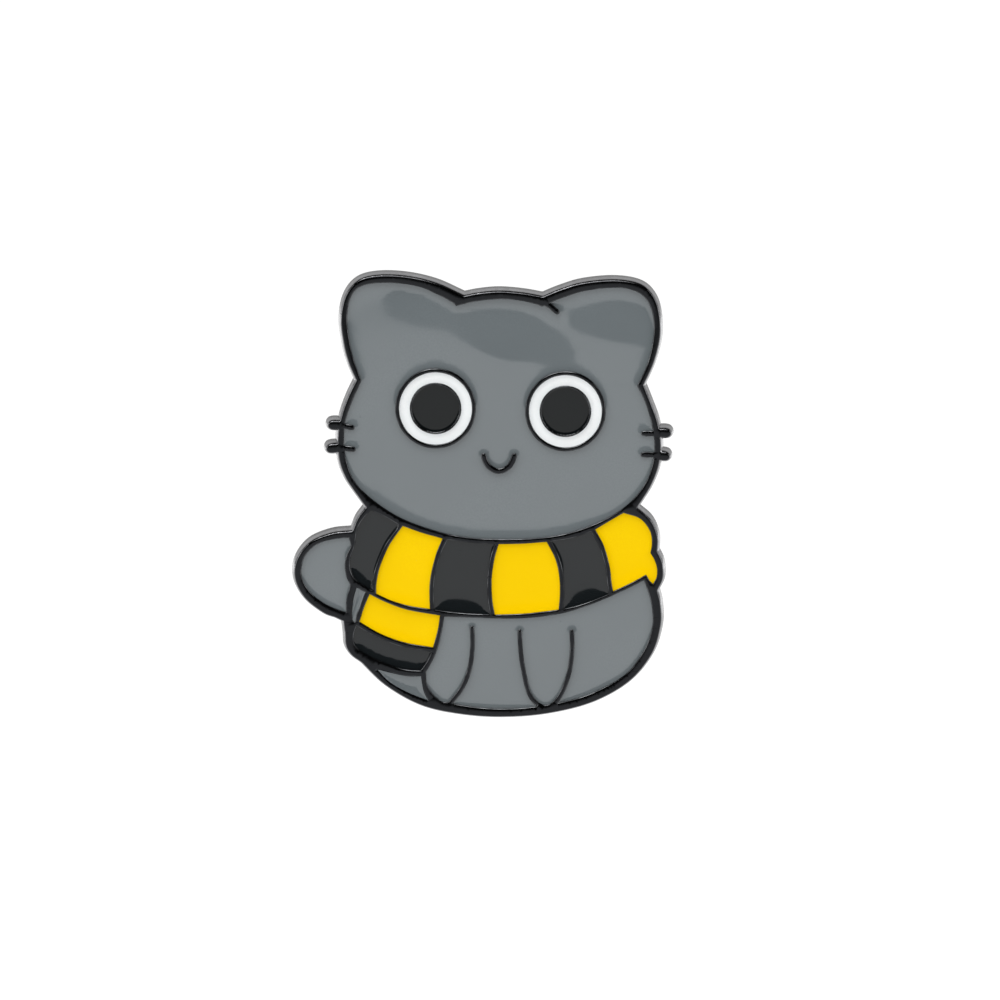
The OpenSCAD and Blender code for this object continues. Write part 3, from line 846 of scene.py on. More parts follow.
@dataclass(frozen=True)
class NickelFinish:
    """Bright plating on stamped or turned metal, with rub marks and dulled corners.

    Attributes:
        name: The material's name.
        colour: Colour of the metal.
        gloss: Roughness of the clean metal.
        rub: Depth of its scratches, in millimetres.
        lumps: Depth of its broad unevenness, in millimetres.
    """

    name: str
    colour: Colour
    gloss: float = 0.17
    rub: float = 0.002
    lumps: float = 0.01

    def make(self) -> bpy.types.Material:
        """Build the material."""
        paint = Paint(self.name, {"Metallic": 1.0})
        drift = paint.effect(Effect.DRIFT, scale=0.5)
        specks = paint.effect(Effect.SPECKS, scale=1.6, size=0.1)
        colour = paint.blend(drift, tinted(self.colour, 0.93), tinted(self.colour, 1.03))
        spotted = paint.blend(paint.times(specks, 0.6), colour, tinted(self.colour, 0.5))
        paint.set("Base Color", spotted)
        scratches = paint.effect(Effect.SCRATCHES, scale=1.0, cut=0.62)
        haze = paint.ramp(paint.noise(paint.place, 0.9, 4.0), 0.4, 0.8, 0.0, 0.12)
        rough = paint.plus(paint.times(scratches, 0.2), haze)
        paint.set("Roughness", paint.plus(rough, self.gloss))
        ripple = paint.effect(Effect.RIPPLE, scale=0.8, fine=0.12)
        paint.bump((ripple, self.lumps), (scratches, -self.rub), (specks, -0.006))
        return paint.material


# ---------------------------------------------------------------- pieces


def dress(piece: bpy.types.Object, node: str, body: str,
          material: bpy.types.Material) -> bpy.types.Object:
    """Give a piece its material and its body, and let it stand for its CAD node.

    Args:
        piece: The piece.
        node: The CAD node it replaces.
        body: The body it rides on.
        material: Its material.

    Returns:
        The piece.
    """
    piece.data.materials.append(material)
    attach(piece, body)
    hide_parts(node)
    log.info("%s: %d triangles on %s", piece.name, len(piece.data.polygons), body)
    return piece


def arc_drop(depth: Array, radius: float, reach: float) -> Array:
    """How far a rounded edge lies below its flat, at a depth inwards: r - sqrt(r^2 - (reach - depth)^2).

    Args:
        depth: Distance in from the edge.
        radius: Radius r of the round.
        reach: Depth at which the flat starts; it is the radius if the round turns by 90 degrees.

    Returns:
        The drops.
    """
    short = np.clip(reach - depth, 0, reach)
    return radius - np.sqrt(radius**2 - short**2)


def thinned(points: Array, apart: float = 0.02) -> Array:
    """Keep one point in each square of a fine grid."""
    _, first = np.unique(np.rint(points / apart).astype(np.int64), axis=0, return_index=True)
    return points[first]


def hexagonal(outline: Outline, step: float) -> Array:
    """Points of a triangular grid over an outline's box."""
    low, high = outline.points.min(0), outline.points.max(0)
    x, z = np.meshgrid(np.arange(low[0], high[0], step), np.arange(low[1], high[1], step * 0.866))
    x = x + (np.arange(len(x)) % 2)[:, None] * step / 2
    return np.stack([x.ravel(), z.ravel()], 1)


@dataclass
class BadgePlate:
    """The struck plate: raised lines, pockets, a bevelled edge, and two solder seats in its back.

    Attributes:
        node: Its CAD node.
        floor: y of the pocket floors.
        back: y of the flat back.
        shoulder: Radius of the outer shoulder.
        lean: Turn of the outer shoulder, in degrees, before the edge runs straight.
        skirt: y at which the edge reaches its full width.
        flare: How far the edge spreads from the silhouette to the rear outline.
        lip: Radius of the shoulders beside the pockets.
        heel: Radius of the back edge.
        hem: Width of the painted shade along the rim where the edge is widest.
        painted_shade_hem_back: How far that painted shade fades towards the heel.
        edge_fade: Drop of the outer shoulder over which its plating becomes that of the edge.
        worn: Place and width of the painted glint line on a pocket's shoulder, as shares of its radius.
        deepest: Most that the two kinds of shoulder together lower a line's top.
        clear: Distance that loose corners keep from the outlines.
        seat_depth: Depth of the solder seats.
        finish: Its plating.
    """

    node: str = "base_plate"
    floor: float = -1.0
    back: float = 0.0
    shoulder: float = 0.11
    lean: float = 80.0
    skirt: float = -0.3
    flare: float = 0.2
    lip: float = 0.07
    heel: float = 0.08
    hem: float = 0.08
    painted_shade_hem_back: float = 0.3
    edge_fade: float = 0.08
    worn: tuple[float, float] = (0.35, 0.3)
    deepest: float = 0.3
    clear: float = 0.007
    seat_depth: float = 0.3
    finish: BlackNickelFinish = field(default_factory=BlackNickelFinish)

    def __post_init__(self) -> None:
        """Read the outlines from the CAD node."""
        self.front = float(box_mm(self.node)[0][1])
        faces = sorted(flat_loops(self.node, self.front), key=lambda loop: np.ptp(loop[:, 0]))
        rear = sorted(flat_loops(self.node, self.back), key=lambda loop: np.ptp(loop[:, 0]))
        self.silhouette = smooth_outline(faces[-1])
        self.pockets = [smooth_outline(loop) for loop in faces[:-1]]
        self.rear = smooth_outline(rear[-1])
        self.seats = [smooth_outline(loop) for loop in rear[:-1]]

    def shoulder_drop(self, depth: Array) -> Array:
        """Drop of the outer shoulder at a depth in from the silhouette.

        It is the part of a circle of the shoulder's radius that turns from level by the lean.
        """
        return arc_drop(depth, self.shoulder, self.shoulder * math.sin(math.radians(self.lean)))

    def height(self, points: Array) -> Array:
        """y of the front at flat points.

        Inside the silhouette it is the line tops less the drops of both kinds of shoulder. Outside, the
        edge falls from the shoulder's foot to the skirt as the 1.6th power of the way out.
        """
        away = distance(points, [self.silhouette])
        inner = arc_drop(distance(points, self.pockets), self.lip, self.lip)
        top = self.front + np.minimum(self.shoulder_drop(away) + inner, self.deepest)
        foot = self.front + self.shoulder * (1 - math.cos(math.radians(self.lean)))
        wall = foot + (self.skirt - foot) * np.clip(away / self.flare, 0, 1) ** 1.6
        outside = ~inside(points, [self.silhouette]) & (away > 2 * KEY)
        on_rear = distance(points, [self.rear]) < 2 * KEY
        return np.round(np.where(on_rear, self.skirt, np.where(outside, wall, top)), 4)

    def build(self) -> bpy.types.Object:
        """Make the plate as one closed mesh.

        The front is a height over the flat area between the rear outline and the pockets; walls join it
        to the pocket floors and to the flat back.
        """
        metal = [self.silhouette, *self.pockets]
        sweep = np.radians(np.linspace(0, self.lean, 8)[:-1])
        depths = self.shoulder * (math.sin(math.radians(self.lean)) - np.sin(sweep))
        outer = rings([self.silhouette], depths, 1.0)
        inner = rings(self.pockets, self.lip * SHOULDER_RINGS, 1.0)
        extra = thinned(np.concatenate([outer, inner]))
        extra = extra[inside(extra, metal)]
        slope = rings([self.silhouette], self.flare * np.array([0.15, 0.35, 0.6, 0.82]), -1.0)
        slope = slope[inside(slope, [self.rear]) & ~inside(slope, [self.silhouette])]
        extra = np.concatenate([extra, slope])
        extra = extra[distance(extra, [*metal, self.rear]) > self.clear]
        shape = Surface()
        flat, faces = triangulate([self.rear, *self.pockets], extra, (self.silhouette,))
        shape.add(lift(flat, self.height(flat)), faces)
        for pocket in self.pockets:
            shape.add(*band(pocket, self.height(pocket.points), self.floor))
        floors, faces = triangulate(self.pockets, np.empty((0, 2)))
        shape.add(lift(floors, self.floor), faces)
        shape.add(*band(self.rear, self.skirt, self.back - self.heel))
        heel_rings = rings([self.rear], self.heel * SHOULDER_RINGS, 1.0)
        flat, faces = triangulate([self.rear, *self.seats], heel_rings)
        fall = np.round(arc_drop(distance(flat, [self.rear]), self.heel, self.heel), 4)
        shape.add(lift(flat, self.back - fall), faces[:, ::-1])
        for seat in self.seats:
            shape.add(*band(seat, self.back - self.seat_depth, self.back))
        flat, faces = triangulate(self.seats, np.empty((0, 2)))
        shape.add(lift(flat, self.back - self.seat_depth), faces[:, ::-1])
        # The lip mark carries the painted glint on the pocket shoulders, and the hem mark the painted shade
        # along the edge's rear rim.
        marks = {"edge": self.edge_mark, "back": self.back_mark, "lip": self.painted_glint_mark, "hem": self.painted_shade_hem_mark}
        return shape.build(self.node, marks=marks)

    def edge_mark(self, corners: Array) -> Array:
        """1 on the outer edge and the back, fading to 0 over the outer shoulder."""
        flat = corners[:, [0, 2]]
        away = distance(flat, [self.silhouette])
        share = np.clip(self.shoulder_drop(away) / self.edge_fade, 0, 1) ** 2
        beyond = ~inside(flat, [self.silhouette]) & (away > 2 * KEY)
        return np.where(beyond | (corners[:, 1] > self.floor + 0.01), 1.0, share)

    def painted_glint_mark(self, corners: Array) -> Array:
        """Share of the painted glint: 1 half way down the shoulders beside the pockets, and 0 on the tops and
        in the pockets.
        """
        flat = corners[:, [0, 2]]
        depth = distance(flat, self.pockets) / self.lip
        peak = np.exp(-(((depth - self.worn[0]) / self.worn[1]) ** 2))
        return np.where(corners[:, 1] < self.front + self.lip + 0.001, peak, 0.0)

    def painted_shade_hem_mark(self, corners: Array) -> Array:
        """Share of the painted shade: 1 on the rim where the edge is widest, fading forwards over its width
        and back towards the heel.
        """
        beside = np.clip(1 - distance(corners[:, [0, 2]], [self.rear]) / self.hem, 0, 1)
        behind = np.clip((corners[:, 1] - self.skirt) / self.painted_shade_hem_back, 0, 1)
        return beside * (1 - behind)

    def back_mark(self, corners: Array) -> Array:
        """1 on the flat back and 0 elsewhere."""
        return (corners[:, 1] > self.back - self.heel / 2).astype(float)

    def assemble(self) -> None:
        """Build and dress the plate."""
        dress(self.build(), self.node, "badge", self.finish.make())


@dataclass(frozen=True)
class Hollows:
    """Very low waves that settle in a wide enamel surface as it cures.

    Inside a hollow the surface leans back a little, so it mirrors the dark of the room, where the level
    surface mirrors the bright floor.

    Attributes:
        shapes: Outline of each hollow, as (x, z).
        start: Lowest z that a hollow reaches.
        end: Highest z that the surface reaches.
        lean: Slope inside a hollow.
        blur: Distance over which the slope changes.
        spacing: Spacing of the table that the slopes are summed on.
    """

    shapes: tuple[tuple[tuple[float, float], ...], ...]
    start: float = -3.0
    end: float = 15.5
    lean: float = 0.018
    blur: float = 0.36
    spacing: float = 0.1

    def at(self, points: Array) -> Array:
        """Height at flat points.

        The slope up the face is -lean * (1 - tanh(d / blur)) / 2, where d is the distance outside the
        hollows' outline; the height is the sum of the slopes below, read between the table's points.
        """
        x = np.arange(-12.0, 12.0, self.spacing)
        z = np.arange(self.start, self.end, self.spacing)
        grid = np.stack(np.meshgrid(x, z, indexing="ij"), 2).reshape(-1, 2)
        walls = [smooth_outline(np.array(shape)) for shape in self.shapes]
        away = distance(grid, walls) * np.where(inside(grid, walls), -1, 1)
        slope = -self.lean * (1 - np.tanh(away / self.blur)) / 2
        table = np.cumsum(slope.reshape(len(x), len(z)), 1) * self.spacing
        i = np.clip((points[:, 0] - x[0]) / self.spacing, 0, len(x) - 1.001)
        j = np.clip((points[:, 1] - z[0]) / self.spacing, 0, len(z) - 1.001)
        i0, j0 = i.astype(int), j.astype(int)
        u, v = i - i0, j - j0
        low = table[i0, j0] * (1 - u) + table[i0 + 1, j0] * u
        high = table[i0, j0 + 1] * (1 - u) + table[i0 + 1, j0 + 1] * u
        return low * (1 - v) + high * v


@dataclass
class EnamelFill:
    """All the enamel of one colour: a closed piece in each pocket, dished and drawn up at its walls.

    Attributes:
        nodes: The CAD nodes.
        slot: Name of its material slot; not used.
        material: The enamel.
        bowl: How far the middle of a pocket sinks.
        reach: Distance from the outer wall over which it sinks.
        climb: How far the enamel creeps up a wall.
        creep: Distance from the wall over which it creeps.
        gap: Width of the seam at the walls.
        streak: Depth of the waves that run up and down a narrow field.
        streak_pitch: Spacing of those waves across the field.
        streak_lean: How far they move to the viewer's left for each millimetre up.
        spacing: Spacing of the corners in the middle of a field.
        hollows: Waves in a wide field, by node.
    """

    nodes: list[str]
    slot: str
    material: bpy.types.Material
    bowl: float = 0.05
    reach: float = 0.35
    climb: float = 0.045
    creep: float = 0.10
    gap: float = 0.004
    streak: float = 0.0
    streak_pitch: float = 0.34
    streak_lean: float = -0.3
    spacing: float = 0.35
    hollows: dict[str, Hollows] = field(default_factory=dict)

    def surface(self, node: str) -> bpy.types.Object:
        """Make the enamel of one pocket as a closed mesh."""
        low, high = box_mm(node)
        level, floor = float(low[1]), float(high[1])
        walls = [smooth_outline(loop) for loop in flat_loops(node, level)]
        walls = [Outline(np.round(wall.points + wall.left * self.gap, 4), wall.left) for wall in walls]
        wide = max(walls, key=lambda wall: np.ptp(wall.points[:, 0]))
        grid = hexagonal(wide, self.spacing)
        grid = grid[inside(grid, walls)]
        grid = grid[distance(grid, walls) > 1.2 * self.spacing]
        near = rings(walls, WALL_RINGS, 1.0)
        near = thinned(near[inside(near, walls)])
        flat, faces = triangulate(walls, np.concatenate([near, grid]))

        def height(points: Array) -> Array:
            """y of the surface: level, sunk by the bowl, raised by the walls' creep and by the waves."""
            sunk = self.bowl * (1 - np.clip(nearness(points, [wide], self.reach), 0, 1.4))
            raised = self.climb * np.exp(-distance(points, walls) / self.creep)
            wave = self.hollows[node].at(points) if node in self.hollows else 0.0
            across = points[:, 0] + self.streak_lean * points[:, 1]
            wave = wave + self.streak * np.sin(2 * np.pi * across / self.streak_pitch)
            return np.round(level + sunk - raised - wave, 4)

        shape = Surface().add(lift(flat, height(flat)), faces)
        shape.add(lift(flat, floor), faces[:, ::-1])
        for wall in walls:
            shape.add(*band(wall, height(wall.points), floor))

        def rim(corners: Array) -> Array:
            """Share of the painted shade: 1 at a wall, falling to a third at the creep's distance and a half
            more.
            """
            return np.exp(-distance(corners[:, [0, 2]], walls) / (1.5 * self.creep))

        return shape.build(node, marks={"rim": rim})

    def assemble(self) -> None:
        """Build and dress every pocket's enamel."""
        for node in self.nodes:
            dress(self.surface(node), node, "badge", self.material)


@dataclass
class Post:
    """A turned post with its soldered head, two stop grooves and a blunt point, and the solder round it.

    Attributes:
        place: Which post it is.
        shank: Radius of the post.
        head: Radius of its head.
        seat: Radius of the solder.
        sunk: y of the seat's floor.
        rise: y of the head's top.
        grooves: y at which each groove starts.
        groove_width: Width of a groove.
        groove_depth: Depth of a groove.
        point: Length of the point.
        tip: Radius of the tip.
        metal: Material of the post.
        solder: Material of the solder.
    """

    place: Place
    metal: bpy.types.Material
    solder: bpy.types.Material
    shank: float = 0.55
    head: float = 1.5
    seat: float = 2.0
    sunk: float = -0.3
    rise: float = 0.1
    grooves: tuple[float, ...] = (1.95, 6.0)
    groove_width: float = 0.65
    groove_depth: float = 0.18
    point: float = 0.6
    tip: float = 0.12

    def post(self) -> bpy.types.Object:
        """Turn the post's profile about its axis."""
        end = float(box_mm(f"{self.place.value}_post")[1][1])
        foot = self.shank + 0.12
        profile = [(0.0, self.sunk), (self.head, self.sunk), (self.head, self.rise), (foot, self.rise)]
        profile.append((self.shank, self.rise + 0.12))
        waist, width = self.shank - self.groove_depth, self.groove_width
        for start in self.grooves:
            profile += [(self.shank, start), (waist, start + 0.1)]
            profile += [(waist, start + (width - 0.1)), (self.shank, start + width)]
        profile += [(self.shank, end - self.point), (self.tip, end), (0.0, end)]
        line = rounded(np.array(profile), 0.07)
        return turned(line, post_axis(self.place), 64).build(f"{self.place.value}_post")

    def fillet(self) -> bpy.types.Object:
        """Turn the solder's profile, with its top a little uneven round the turn."""
        profile = [
            (self.head, self.sunk), (self.seat, self.sunk), (self.seat, 0.0), (self.seat - 0.12, 0.055),
            (self.seat - 0.3, 0.075), (self.head + 0.08, 0.085), (self.head, 0.07), (self.head, self.sunk),
        ]
        phase = 0.0 if self.place is Place.UPPER else 2.0

        def uneven(angle: Array, r: Array) -> Array:
            """Three waves round the turn, which die out at both radii."""
            middle = np.clip((r - self.head) * (self.seat - r) / 0.0625, 0, 1)
            wave = np.sin(angle + phase) + 0.6 * np.sin(3 * angle + 2 * phase) + 0.4 * np.sin(7 * angle)
            return 0.011 * middle * wave

        line = rounded(np.array(profile), 0.05)
        return turned(line, post_axis(self.place), 96, uneven).build(f"{self.place.value}_solder", 50.0)

    def assemble(self) -> None:
        """Build and dress the post and its solder."""
        name = self.place.value
        dress(self.post(), f"{name}_post", "badge", self.metal)
        dress(self.fillet(), f"{name}_solder", "badge", self.solder)


@dataclass
class Clutch:
    """A butterfly clutch: a rimmed disc, a domed cup, two squeezable wings and a ring spring.

    Heights count from the front of the disc.

    Attributes:
        place: The post it sits on.
        metal: Material of the disc, the cup and the wings.
        wire: Material of the spring.
        bore: Radius of the disc's hole.
        disc: Radius of the disc.
        sheet: Thickness of the disc.
        rim_in: Inner radius of the disc's rim.
        lip_in: Inner radius of the lip turned in over the cup's flange.
        lip_y: Height of the lip's underside.
        lip_t: Thickness of the lip.
        flange_y: Height of the flange's front.
        flange: Radius of the flange.
        cup: Radius of the cup.
        cup_t: Thickness of the cup.
        dome_y: Height at which the dome starts.
        window: Half the angle of a window, in degrees.
        window_y: Lowest and highest edge of the windows.
        wing_t: Thickness of a wing.
        wing_y: Height of the left wing's neck; the right one's is a step higher.
        wing_step: That step.
        inner_end: How far a neck passes its post.
        bend_at: Distance from the post at which a wing turns up.
        bend_r: Radius of that bend.
        lean: Angle of the pads to the disc, in degrees.
        pad_at: Distance from the post to the middle of a pad's round.
        pad_len: Length of a pad.
        neck: Half the width of a neck.
        hole: Ends of the neck's long hole, along the neck from the post.
        pad: Radius of the pad's round.
        corner: How far the pad's end is rounded, along it and across it.
        ribs: Places of the pad's ribs, from the bend.
        rib: Height of a rib.
        rib_w: Half its width.
        lug_at: Distance from the post to the lug that bears on the spring.
        lug_top: Height of the lug.
        lug: Half its width.
        spring_r: Radius of the spring ring.
        spring_wire: Radius of its wire.
        spring_y: Height of the spring.
    """

    place: Place
    metal: bpy.types.Material
    wire: bpy.types.Material
    bore: float = 0.63
    disc: float = 5.7
    sheet: float = 0.35
    rim_in: float = 5.35
    lip_in: float = 4.95
    lip_y: float = 0.75
    lip_t: float = 0.25
    flange_y: float = 0.40
    flange: float = 5.25
    cup: float = 3.2
    cup_t: float = 0.25
    dome_y: float = 2.75
    window: float = 28.0
    window_y: tuple[float, float] = (0.8, 1.7)
    wing_t: float = 0.3
    wing_y: float = 1.05
    wing_step: float = 0.4
    inner_end: float = 1.15
    bend_at: float = 3.6
    bend_r: float = 0.6
    lean: float = 55.0
    pad_at: float = 5.2
    pad_len: float = 4.1
    neck: float = 1.3
    hole: tuple[float, float] = (-1.15, 0.58)
    pad: float = 2.2
    corner: tuple[float, float] = (0.9, 0.8)
    ribs: tuple[float, ...] = (2.1, 2.75, 3.4)
    rib: float = 0.07
    rib_w: float = 0.17
    lug_at: float = 2.25
    lug_top: float = 2.1
    lug: float = 0.6
    spring_r: float = 1.85
    spring_wire: float = 0.2
    spring_y: float = 1.9

    def __post_init__(self) -> None:
        """Read where the disc lies."""
        self.name = self.place.value
        self.axis = post_axis(self.place)
        self.base = float(box_mm(f"{self.name}_clutch_disc")[0][1])

    def placed(self, points: Array) -> Array:
        """Points about the disc's middle, moved to the clutch's place."""
        return points + np.array([self.axis[0], self.base, self.axis[1]])

    def disc_piece(self) -> bpy.types.Object:
        """Turn the disc's profile: flat sheet, pressed ring, rim and turned-in lip."""
        top = self.lip_y + self.lip_t
        profile = np.array([
            (self.bore, self.sheet / 2), (self.bore, 0.0), (1.7, 0.0), (1.9, 0.06), (2.5, 0.06), (2.7, 0.0),
            (self.disc - 0.2, 0.0), (self.disc, 0.2), (self.disc, top - 0.1), (self.disc - 0.1, top),
            (self.lip_in, top), (self.lip_in, self.lip_y), (self.rim_in, self.lip_y),
            (self.rim_in, self.sheet), (self.bore, self.sheet), (self.bore, self.sheet / 2),
        ])
        line = rounded(profile, 0.11)
        line[:, 1] += self.base
        return turned(line, self.axis, 128).build(f"{self.name}_clutch_disc")

    def cup_piece(self) -> bpy.types.Object:
        """Turn the cup's outer and inner profiles in step, and leave out the two windows."""
        climb = np.radians(np.linspace(0, 90, 16))

        def side(radius: float, flange_y: float, fillet: float) -> Array:
            """Profile of one side, from the flange's edge to the top of the dome."""
            foot = np.radians(np.linspace(0, 90, 6))
            bend = np.stack([radius + fillet * (1 - np.sin(foot)), flange_y + fillet * (1 - np.cos(foot))], 1)
            parts = [
                np.stack([np.linspace(self.flange, radius + fillet, 6), np.full(6, flange_y)], 1),
                bend[1:],
                np.stack([np.full(6, radius), np.array([*self.window_y, 1.85, 2.1, 2.4, 2.6])], 1),
                np.stack([radius * np.cos(climb), self.dome_y + radius * np.sin(climb)], 1),
            ]
            return np.concatenate(parts)

        outer = side(self.cup, self.flange_y + self.cup_t, 0.14)
        inner = side(self.cup - self.cup_t, self.flange_y, 0.14)
        half = math.radians(self.window)
        quarter = np.concatenate([np.linspace(-half, half, 17), np.linspace(half, math.pi - half, 33)[1:-1]])
        angle = np.concatenate([quarter, quarter + math.pi])

        def grid(profile: Array) -> Array:
            """Points (r cos a, y, r sin a) over the profile and the angle."""
            r, y = profile[:, :1], np.repeat(profile[:, 1:], len(angle), 1)
            return self.placed(np.stack([r * np.cos(angle), y, r * np.sin(angle)], 2))

        middle_y = (outer[:-1, 1] + outer[1:, 1]) / 2
        tall = (middle_y > self.window_y[0]) & (middle_y < self.window_y[1])
        tall &= outer[:-1, 0] <= self.cup + 0.001
        through = np.abs(np.sin(angle + 0.001)) < math.sin(half)
        keep = ~(tall[:, None] & through[None, :])
        return shell(grid(outer), grid(inner), keep, wrap=True).build(f"{self.name}_clutch_cup")

    def strip(self, path: Array, half: Array, share: Array, mask: Array | None = None,
              press: Array | None = None) -> Surface:
        """A bent strip of sheet with rounded edges.

        Args:
            path: Its middle line, as (x, y), shape (n, 2).
            half: Half its width at each point, shape (n,).
            share: Places across it, from -1 to 1, shape (m,).
            mask: Which cells exist, shape (n - 1, m - 1), or None for all.
            press: How far each point is pressed along the sheet's normal, shape (n, m), or None.

        Returns:
            The surface: path + normal * (press + or - thickness) + half * share * z, where the
            thickness falls to 0 at an edge as a quarter circle.
        """
        along = np.gradient(path, axis=0)
        along /= np.linalg.norm(along, axis=1)[:, None]
        normal = np.stack([-along[:, 1], along[:, 0]], 1)
        travel = np.concatenate([[0], np.cumsum(np.linalg.norm(np.diff(path, axis=0), axis=1))])
        z = half[:, None] * share
        edge = np.minimum(half[:, None] - np.abs(z), np.minimum(travel, travel[-1] - travel)[:, None])
        soft = np.clip(edge / (self.wing_t / 2), 0, 1)
        thick = self.wing_t / 2 * np.sqrt(1 - (1 - soft) ** 2)
        press = np.zeros_like(z) if press is None else press
        sides = [
            np.stack([path[:, :1] + normal[:, :1] * d, path[:, 1:] + normal[:, 1:] * d, z], 2)
            for d in (press + thick, press - thick)
        ]
        mask = np.ones((len(path) - 1, len(share) - 1), bool) if mask is None else mask
        return shell(sides[0], sides[1], mask)

    def wing_piece(self, side: Side) -> bpy.types.Object:
        """Bend a wing: flat neck with a long hole, bend, and a ribbed pad with a rounded end."""
        neck_y = self.wing_y if side is Side.LEFT else self.wing_y + self.wing_step
        lean = math.radians(self.lean)
        turn = np.linspace(0, lean, 10)
        edge = np.array([0.0, 0.01, 0.03, 0.07, 0.15])
        neck_x = np.concatenate([
            self.inner_end - edge, np.linspace(0.9, 0.65, 3), self.hole[1:], np.linspace(0.3, -0.9, 7),
            self.hole[:1], np.linspace(-1.4, -self.bend_at, 12),
        ])
        bend_x = -self.bend_at - self.bend_r * np.sin(turn)
        bend_y = neck_y + self.bend_r * (1 - np.cos(turn))
        end_x = -self.bend_at - self.bend_r * math.sin(lean)
        end_y = neck_y + self.bend_r * (1 - math.cos(lean))
        run = np.concatenate([np.linspace(0, self.pad_len - 0.2, 52)[1:], self.pad_len - edge[::-1]])
        path = np.concatenate([
            np.stack([neck_x, np.full(len(neck_x), neck_y)], 1),
            np.stack([bend_x, bend_y], 1)[1:],
            np.stack([end_x - run * math.cos(lean), end_y + run * math.sin(lean)], 1),
        ])
        up = np.concatenate([np.full(len(path) - len(run), -9.0), run])
        pad = np.sqrt(np.clip(self.pad**2 - (-path[:, 0] - self.pad_at) ** 2, 0, None))
        half = np.maximum(pad, self.neck)
        past = np.clip(1 - (self.pad_len - up) / self.corner[0], 0, 1)
        limit = half[-1] - self.corner[1] * (1 - np.sqrt(1 - past**2))
        half = np.where(past > 0, np.minimum(half, limit), half)
        side_share = np.array([0.9, 0.945, 0.975, 0.993, 1.0])
        share = np.concatenate([-side_share[::-1], np.linspace(-0.8, 0.8, 17), side_share])
        along = (path[:-1, 0] <= self.hole[1] + KEY) & (path[1:, 0] >= self.hole[0] - KEY)
        across = (share[:-1] >= -0.5 - KEY) & (share[1:] <= 0.5 + KEY)
        ribs = sum(np.exp(-(((up - at) / self.rib_w) ** 2)) for at in self.ribs)
        press = self.rib * ribs[:, None] * np.clip((1 - np.abs(share)) / 0.3, 0, 1) ** 0.5
        piece = self.strip(path, half, share, ~(along[:, None] & across), press)
        lug_y = np.concatenate([[neck_y], np.linspace(neck_y + 0.05, 1.9, 8), self.lug_top - edge[::-1]])
        lug = np.stack([np.full(len(lug_y), -self.lug_at), lug_y], 1)
        tab = self.strip(lug, np.full(len(lug_y), self.lug), share)
        for points, faces in ((piece.points[0], piece.triangles[0]), (tab.points[0], tab.triangles[0])):
            points[:, 0] *= side.value
            points[:] = self.placed(points)
            if side is Side.RIGHT:
                faces[:] = faces[:, ::-1]
        piece.add(tab.points[0], tab.triangles[0])
        return piece.build(f"{self.name}_{side.name.lower()}_wing", 50.0)

    def spring_piece(self) -> bpy.types.Object:
        """Carry the wire round five sixths of a turn, with rounded ends."""
        angle = np.radians(np.linspace(-120, 180, 121))
        level = np.full(len(angle), self.spring_y)
        path = np.stack([self.spring_r * np.cos(angle), level, self.spring_r * np.sin(angle)], 1)
        travel = np.minimum(angle - angle[0], angle[-1] - angle) * self.spring_r
        soft = np.clip(travel / self.spring_wire, 0, 1)
        radius = self.spring_wire * np.sqrt(1 - (1 - soft) ** 2)
        return tube(self.placed(path), radius, np.array([0.0, 1.0, 0.0])).build(f"{self.name}_clutch_spring")

    def assemble(self) -> None:
        """Build and dress the clutch."""
        name = self.name
        dress(self.disc_piece(), f"{name}_clutch_disc", f"{name}_disc", self.metal)
        dress(self.cup_piece(), f"{name}_clutch_cup", f"{name}_cup", self.metal)
        for side in Side:
            wing = f"{name}_{side.name.lower()}_wing"
            dress(self.wing_piece(side), wing, wing, self.metal)
        spring = dress(self.spring_piece(), f"{name}_clutch_spring", f"{name}_cup", self.wire)
        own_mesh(spring)


